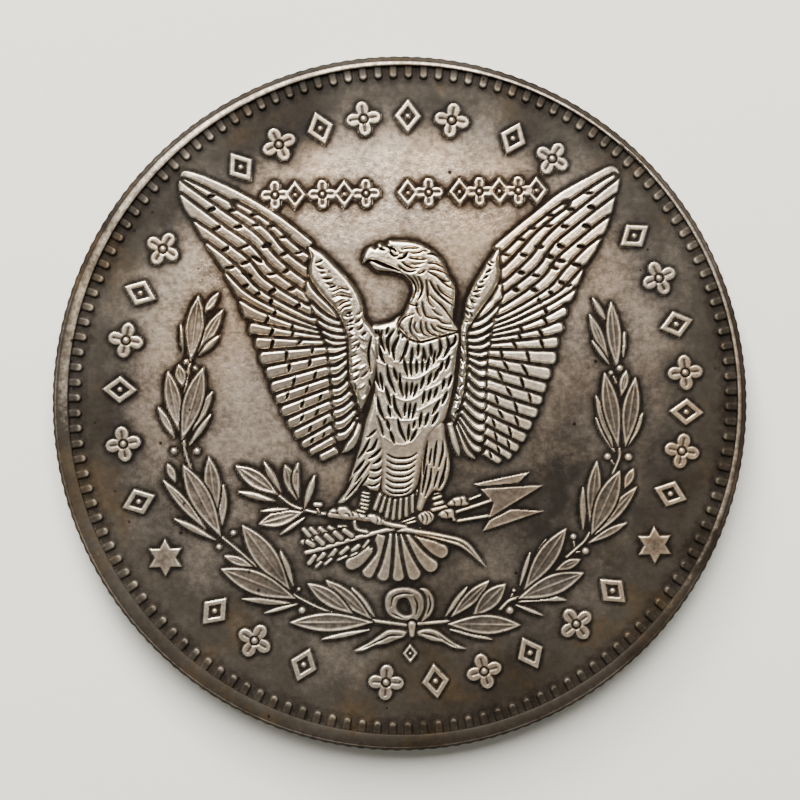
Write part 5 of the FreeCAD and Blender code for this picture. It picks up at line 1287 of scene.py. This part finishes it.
def rim_ring(name, node, material):
    """The rim: worn flats, rounded shoulders and a reeded edge, closed all round."""
    steps_per_reed = 8
    around = REED_COUNT * steps_per_reed
    turn = 2 * pi * np.arange(around) / around
    thickness = RIM_HIGH.z / MM
    outer = OUTER_RADIUS / MM
    low, high = BACK_LEVEL / MM, FRONT_LEVEL / MM
    reed = 0.5 - 0.5 * np.cos(2 * pi * np.arange(around) / steps_per_reed)
    reed = np.clip(reed * 1.5 - 0.3, 0, 1)
    # painted shade: the rim's film gets thicker towards its lower left, the side away from the
    # light, and its thin lip is painted brighter there
    toward_painted_shade = -(0.35 * np.cos(turn) + np.sin(turn)) / 1.06
    rings, shades, films_and_side_shade = [], [], []

    def ring(radius, height, shade, film, painted_side_shade=0.7):
        rings.append((np.broadcast_to(radius, around), np.broadcast_to(height, around)))
        shades.append(np.broadcast_to(shade, around))
        films_and_side_shade.append(np.clip(film + painted_side_shade * toward_painted_shade, 0.45, 1.5))

    def shoulder_ring(row, underside):
        back, depth, reed_share, shade, film, painted_side_shade = row
        radius = outer - back - REED_DEPTH * reed * reed_share
        height = depth if underside else thickness - depth
        ring(radius, height, shade - 0.4 * reed * reed_share, film, painted_side_shade)

    # distance of the offset inner circle from the coin's own axis, by direction
    inner = DRAWN_RIM_INNER * SCALE
    offset_x, offset_y = CENTRE_X / MM, CENTRE_Y / MM
    toward = offset_x * np.cos(turn) + offset_y * np.sin(turn)
    inner_reach = toward + np.sqrt(inner ** 2 - (offset_x ** 2 + offset_y ** 2 - toward ** 2))
    flat = (outer - RIM_SHOULDER[0][0] + inner_reach) / 2
    ring(inner_reach, low - 0.02, 0.2, 1.1)
    ring(inner_reach, high + 0.02, 0.2, 1.1)
    ring(inner_reach, thickness - 0.06, 0.25, 1.1)
    ring(inner_reach + 0.02, thickness - 0.015, 0.50, 0.95)
    ring(inner_reach + 0.06, thickness, 0.66, 0.84)
    ring(flat, thickness, 0.66, 0.84)
    for row in RIM_SHOULDER:
        shoulder_ring(row, underside=False)
    start, end = thickness - RIM_SHOULDER[-1][1], RIM_SHOULDER[-1][1]
    for share in (0.25, 0.5, 0.75):
        height = start + (end - start) * share
        ring(outer - REED_DEPTH * reed, height, 0.66 - 0.5 * reed, 0.62, 0.15)
    for row in RIM_SHOULDER[::-1]:
        shoulder_ring(row, underside=True)
    ring(flat, 0.0, 0.72, 0.78)
    ring(inner_reach + 0.08, 0.0, 0.74, 0.78)
    ring(inner_reach + 0.03, 0.015, 0.62, 0.85)
    ring(inner_reach, 0.07, 0.40, 1.0)

    radii = np.array([r for r, _ in rings])
    heights = np.array([h for _, h in rings])
    points = np.stack([radii * np.cos(turn), radii * np.sin(turn), heights], -1).reshape(-1, 3) * MM
    index = np.arange(radii.size).reshape(radii.shape)
    right = np.roll(index, -1, axis=1)
    faces = np.stack([index, np.roll(index, -1, axis=0), np.roll(right, -1, axis=0), right], -1)
    shades = np.clip(np.array(shades), 0, 1).ravel()
    obj = build_mesh(name, points, faces.reshape(-1, 4), shades, np.array(films_and_side_shade).ravel(), material)
    finish_piece(obj, node)


# ---- materials ----------------------------------------------------------------------------

# Colour of bare metal by tone, from the grooves to the rubbed ridges
SILVER_STOPS = [(0.0, (0.007, 0.004, 0.003)), (0.16, (0.022, 0.014, 0.008)),
                (0.32, (0.105, 0.081, 0.060)), (0.45, (0.325, 0.257, 0.195)),
                (0.60, (0.470, 0.382, 0.285)), (0.80, (0.885, 0.778, 0.598)),
                (1.0, (0.990, 0.945, 0.810))]
THIN_FILM = (0.045, 0.0395, 0.0325)
THICK_FILM = (0.0165, 0.0136, 0.0109)
RUSTY_FILM = (0.066, 0.042, 0.019)


def node(tree, kind, **settings):
    made = tree.nodes.new(kind)
    for key, value in settings.items():
        setattr(made, key, value)
    return made


def antique_silver(name, grain=1.0):
    """Struck silver, rubbed bright where shade is high, and gone brown and dark where its film
    value is high, which also holds painted shade low on the face and on the rim's lower left.

    Grain sets how much the metal is mottled and pitted.
    """
    material = bpy.data.materials.new(name)
    material.use_nodes = True
    tree = material.node_tree
    link = tree.links.new
    shader = tree.nodes["Principled BSDF"]
    place = node(tree, "ShaderNodeTexCoord").outputs["Object"]
    shade = node(tree, "ShaderNodeAttribute", attribute_name="shade").outputs["Fac"]
    tarnish_and_shade = node(tree, "ShaderNodeAttribute", attribute_name="tarnish_and_shade").outputs["Fac"]

    def noise(scale, detail):
        made = node(tree, "ShaderNodeTexNoise")
        made.inputs["Scale"].default_value = scale
        made.inputs["Detail"].default_value = detail
        made.inputs["Roughness"].default_value = 0.62
        link(place, made.inputs["Vector"])
        return made.outputs["Fac"]

    def math(operation, a, b, clamp=False):
        made = node(tree, "ShaderNodeMath", operation=operation, use_clamp=clamp)
        for socket, value in ((0, a), (1, b)):
            if isinstance(value, (int, float)):
                made.inputs[socket].default_value = value
            else:
                link(value, made.inputs[socket])
        return made.outputs[0]

    def swing(value, size):
        return math("MULTIPLY", math("SUBTRACT", value, 0.5), size)

    def between(value, low, high, at_low, at_high):
        made = node(tree, "ShaderNodeMapRange")
        for socket, number in (("From Min", low), ("From Max", high), ("To Min", at_low),
                               ("To Max", at_high)):
            made.inputs[socket].default_value = number
        link(value, made.inputs["Value"])
        return made.outputs["Result"]

    def mixed(factor, a, colour, kind="MIX"):
        made = node(tree, "ShaderNodeMix", data_type="RGBA", blend_type=kind)
        made.inputs["B"].default_value = (*colour, 1)
        link(factor, made.inputs["Factor"])
        link(a, made.inputs["A"])
        return made.outputs["Result"]

    mottle, speck, blotch, cloud = noise(420, 6), noise(3600, 6), noise(170, 5), noise(95, 3)
    stain = noise(250, 4)
    pits = node(tree, "ShaderNodeTexVoronoi")
    pits.inputs["Scale"].default_value = 620
    link(place, pits.inputs["Vector"])
    pit = between(pits.outputs["Distance"], 0.03, 0.075, 0.35 * grain, 0.0)
    tone = math("ADD", math("ADD", shade, swing(mottle, 0.24 * grain)), swing(speck, 0.30 * grain))
    tone = math("SUBTRACT", tone, pit, clamp=True)

    ramp = node(tree, "ShaderNodeValToRGB")
    (first, first_colour), *middle, (last, last_colour) = SILVER_STOPS
    ends = ramp.color_ramp.elements
    ends[0].position, ends[1].position = first, last
    ends[0].color, ends[1].color = (*first_colour, 1), (*last_colour, 1)
    for position, colour in middle:
        ends.new(position).color = (*colour, 1)
    link(tone, ramp.inputs["Fac"])

    # brown film: thick at the border and in patches, rubbed off the highest places; where it
    # follows the film value low on the face and on the rim's lower left it is painted shade
    film = math("ADD", math("ADD", tarnish_and_shade, 0.05), swing(blotch, 0.75))
    film = math("SUBTRACT", film, between(tone, 0.45, 1.0, 0.0, 0.40), clamp=True)
    warm = mixed(between(cloud, 0.48, 0.72, 0.0, 0.6), ramp.outputs["Color"], (1.0, 0.80, 0.55),
                 "MULTIPLY")
    dark = node(tree, "ShaderNodeMix", data_type="RGBA")
    dark.inputs["A"].default_value = (*THICK_FILM, 1)
    dark.inputs["B"].default_value = (*THIN_FILM, 1)
    link(between(blotch, 0.38, 0.66, 1.0, 0.0), dark.inputs["Factor"])
    near_border = between(tarnish_and_shade, 0.80, 1.0, 0.0, 1.0)
    rusty = math("MULTIPLY", between(stain, 0.52, 0.66, 0.15, 0.65), near_border)
    rust = mixed(rusty, dark.outputs["Result"], RUSTY_FILM)
    # the film is made darker still in the grooves: patina there, with painted shade
    rust = mixed(between(tone, 0.04, 0.34, 1.0, 0.0), rust, (0.28, 0.26, 0.24), "MULTIPLY")
    tint = node(tree, "ShaderNodeMix", data_type="RGBA")
    link(film, tint.inputs["Factor"])
    link(warm, tint.inputs["A"])
    link(rust, tint.inputs["B"])
    fleck = between(speck, 0.40, 0.60, 0.42, 0.0)
    flecked = mixed(fleck, tint.outputs["Result"], (0.60, 0.56, 0.50), "MULTIPLY")
    link(flecked, shader.inputs["Base Color"])
    bright = between(tone, 0.15, 0.6, 0.85, 1.0)
    link(math("MULTIPLY", bright, between(film, 0.0, 1.0, 1.0, 0.15)), shader.inputs["Metallic"])
    rough = math("ADD", between(tone, 0.1, 0.9, 0.27, 0.19), between(film, 0.0, 1.0, 0.0, 0.22))
    link(rough, shader.inputs["Roughness"])
    shader.inputs["Specular IOR Level"].default_value = 0.05

    bump = node(tree, "ShaderNodeBump")
    bump.inputs["Strength"].default_value = 0.3
    bump.inputs["Distance"].default_value = 0.00004
    link(math("SUBTRACT", math("ADD", math("MULTIPLY", mottle, 0.6), speck), pit),
         bump.inputs["Height"])
    link(bump.outputs["Normal"], shader.inputs["Normal"])
    return material


def floor_material():
    material = bpy.data.materials.new("pale_floor")
    material.use_nodes = True
    shader = material.node_tree.nodes["Principled BSDF"]
    shader.inputs["Base Color"].default_value = (0.80, 0.785, 0.69, 1)
    shader.inputs["Roughness"].default_value = 0.9
    return material


# ---- the coin -----------------------------------------------------------------------------

def front_canvases():
    forms = {
        "front_border_beads": border_beads(),
        "eagle_head": head(),
        "eagle_breast": breast(),
        "eagle_left_leg": leg(LEFT_THIGH, LEFT_FOOT_STROKES, LEFT_FOOT_LUMPS),
        "eagle_right_leg": leg(RIGHT_THIGH, RIGHT_FOOT_STROKES, RIGHT_FOOT_LUMPS),
        "eagle_tail": tail(),
        "left_wing_arm": arm(LEFT_ARM, LEFT_ARM_CUTS, LEFT_ARM_RIDGES),
        "left_wing_coverts": coverts(LEFT_COVERTS),
        "left_wing_flight_feathers": wing(LEFT_PRIMARIES + LEFT_SECONDARIES,
                                          LEFT_BREAKS, LEFT_OUTLINE),
        "right_wing_arm": arm(RIGHT_ARM, RIGHT_ARM_CUTS, RIGHT_ARM_RIDGES),
        "right_wing_coverts": coverts(RIGHT_COVERTS),
        "right_wing_flight_feathers": wing(RIGHT_PRIMARIES + RIGHT_SECONDARIES,
                                           RIGHT_BREAKS, RIGHT_OUTLINE),
        "olive_branch": olive_branch(),
        "arrow_bundle": arrows(),
        "left_wreath": wreath(LEFT_STEMS, LEFT_WREATH, LEFT_BERRIES),
        "right_wreath": wreath(RIGHT_STEMS, RIGHT_WREATH, RIGHT_BERRIES),
        "wreath_bow": bow(),
        "left_star": star(*LEFT_STAR_PLACE),
        "right_star": star(*RIGHT_STAR_PLACE),
        "upper_ornament_ring": ornament_arc(UPPER_ANGLES),
        "lower_ornament_ring": np.maximum(ornament_arc(LOWER_ANGLES), small_mark()),
        "motto_row_ornaments": motto_row(),
    }
    for side in ("left", "right"):
        tuck(forms[side + "_wing_coverts"], forms[side + "_wing_arm"])
        tuck(forms[side + "_wing_flight_feathers"], forms[side + "_wing_arm"],
             forms[side + "_wing_coverts"])
        tuck(forms["eagle_tail"], forms["eagle_%s_leg" % side])
    tuck(forms["eagle_tail"], forms["eagle_breast"], forms["olive_branch"])
    tuck(forms["arrow_bundle"], forms["olive_branch"], forms["eagle_left_leg"],
         forms["eagle_right_leg"])
    tuck(forms["eagle_breast"], forms["eagle_head"])
    return forms


def back_canvases():
    return {
        "back_border_beads": border_beads(),
        "back_star_and_ring": back_device(),
        "back_small_stars": back_small_stars(),
    }


def with_rim(canvases):
    """All the forms of a face together, and the rim round them."""
    total = np.zeros((CELLS + 1, CELLS + 1))
    for canvas in canvases.values():
        total = np.maximum(total, canvas)
    grid_x, grid_y = np.meshgrid(AXIS, AXIS)
    return np.where(np.hypot(grid_x, grid_y) > DRAWN_RIM_INNER, RIM_STEP, total)


def build_coin():
    relief = antique_silver("struck_relief_silver")
    field = antique_silver("field_silver", grain=1.1)
    rim = antique_silver("rim_silver", grain=1.8)
    front, back = front_canvases(), back_canvases()
    front_shades, back_shades = shade_of(with_rim(front)), shade_of(with_rim(back))
    for forms, shades, is_back in ((front, front_shades, False), (back, back_shades, True)):
        for name, canvas in forms.items():
            kept_film = [share for word, share in FILM_SHARES.items() if word in name]
            relief_piece("struck_" + name, name, canvas, shades, relief,
                         kept_film[0] if kept_film else USUAL_FILM_SHARE, is_back)
    field_disc("struck_planchet", "planchet", front_shades, back_shades, field)
    rim_ring("struck_reeded_rim", "reeded_rim", rim)


def floor_and_lights():
    bpy.ops.mesh.primitive_plane_add(size=3, location=(0, 0, 0))
    floor = bpy.context.object
    floor.name = "floor"
    floor.data.materials.append(floor_material())

    world = bpy.data.worlds.new("soft_room")
    bpy.context.scene.world = world
    world.use_nodes = True
    world.node_tree.nodes["Background"].inputs["Color"].default_value = (1.0, 0.985, 0.96, 1)
    world.node_tree.nodes["Background"].inputs["Strength"].default_value = 0.24
    for name, where, size, power in (("window", (-0.02, 0.163, 0.252), 0.22, 2.3),
                                     ("key", (-0.08, 0.28, 0.16), 0.09, 1.3)):
        light = bpy.data.lights.new(name, "AREA")
        light.size = size
        light.energy = power
        lamp = bpy.data.objects.new(name, light)
        lamp.location = where
        lamp.rotation_mode = "QUATERNION"
        lamp.rotation_quaternion = (-Vector(where)).to_track_quat("-Z", "Y")
        bpy.context.scene.collection.objects.link(lamp)


def camera():
    """Looks down at the coin from a little towards its lower left."""
    distance = 0.1094
    tilt, roll = radians(2.5), radians(1.3)
    target = Vector((-0.00008, 0.00008, RIM_HIGH.z))
    away = Vector((-sin(tilt) * cos(pi / 4), -sin(tilt) * sin(pi / 4), cos(tilt)))
    data = bpy.data.cameras.new("camera")
    data.lens = 90
    data.sensor_width = 36
    data.clip_start = 0.005
    eye = bpy.data.objects.new("camera", data)
    bpy.context.scene.collection.objects.link(eye)
    up = Vector((sin(roll), cos(roll), 0))
    right = up.cross(away).normalized()
    up = away.cross(right)
    eye.matrix_world = Matrix((
        (right.x, up.x, away.x, target.x + away.x * distance),
        (right.y, up.y, away.y, target.y + away.y * distance),
        (right.z, up.z, away.z, target.z + away.z * distance),
        (0, 0, 0, 1)))
    bpy.context.scene.camera = eye


camera()
build_coin()
floor_and_lights()
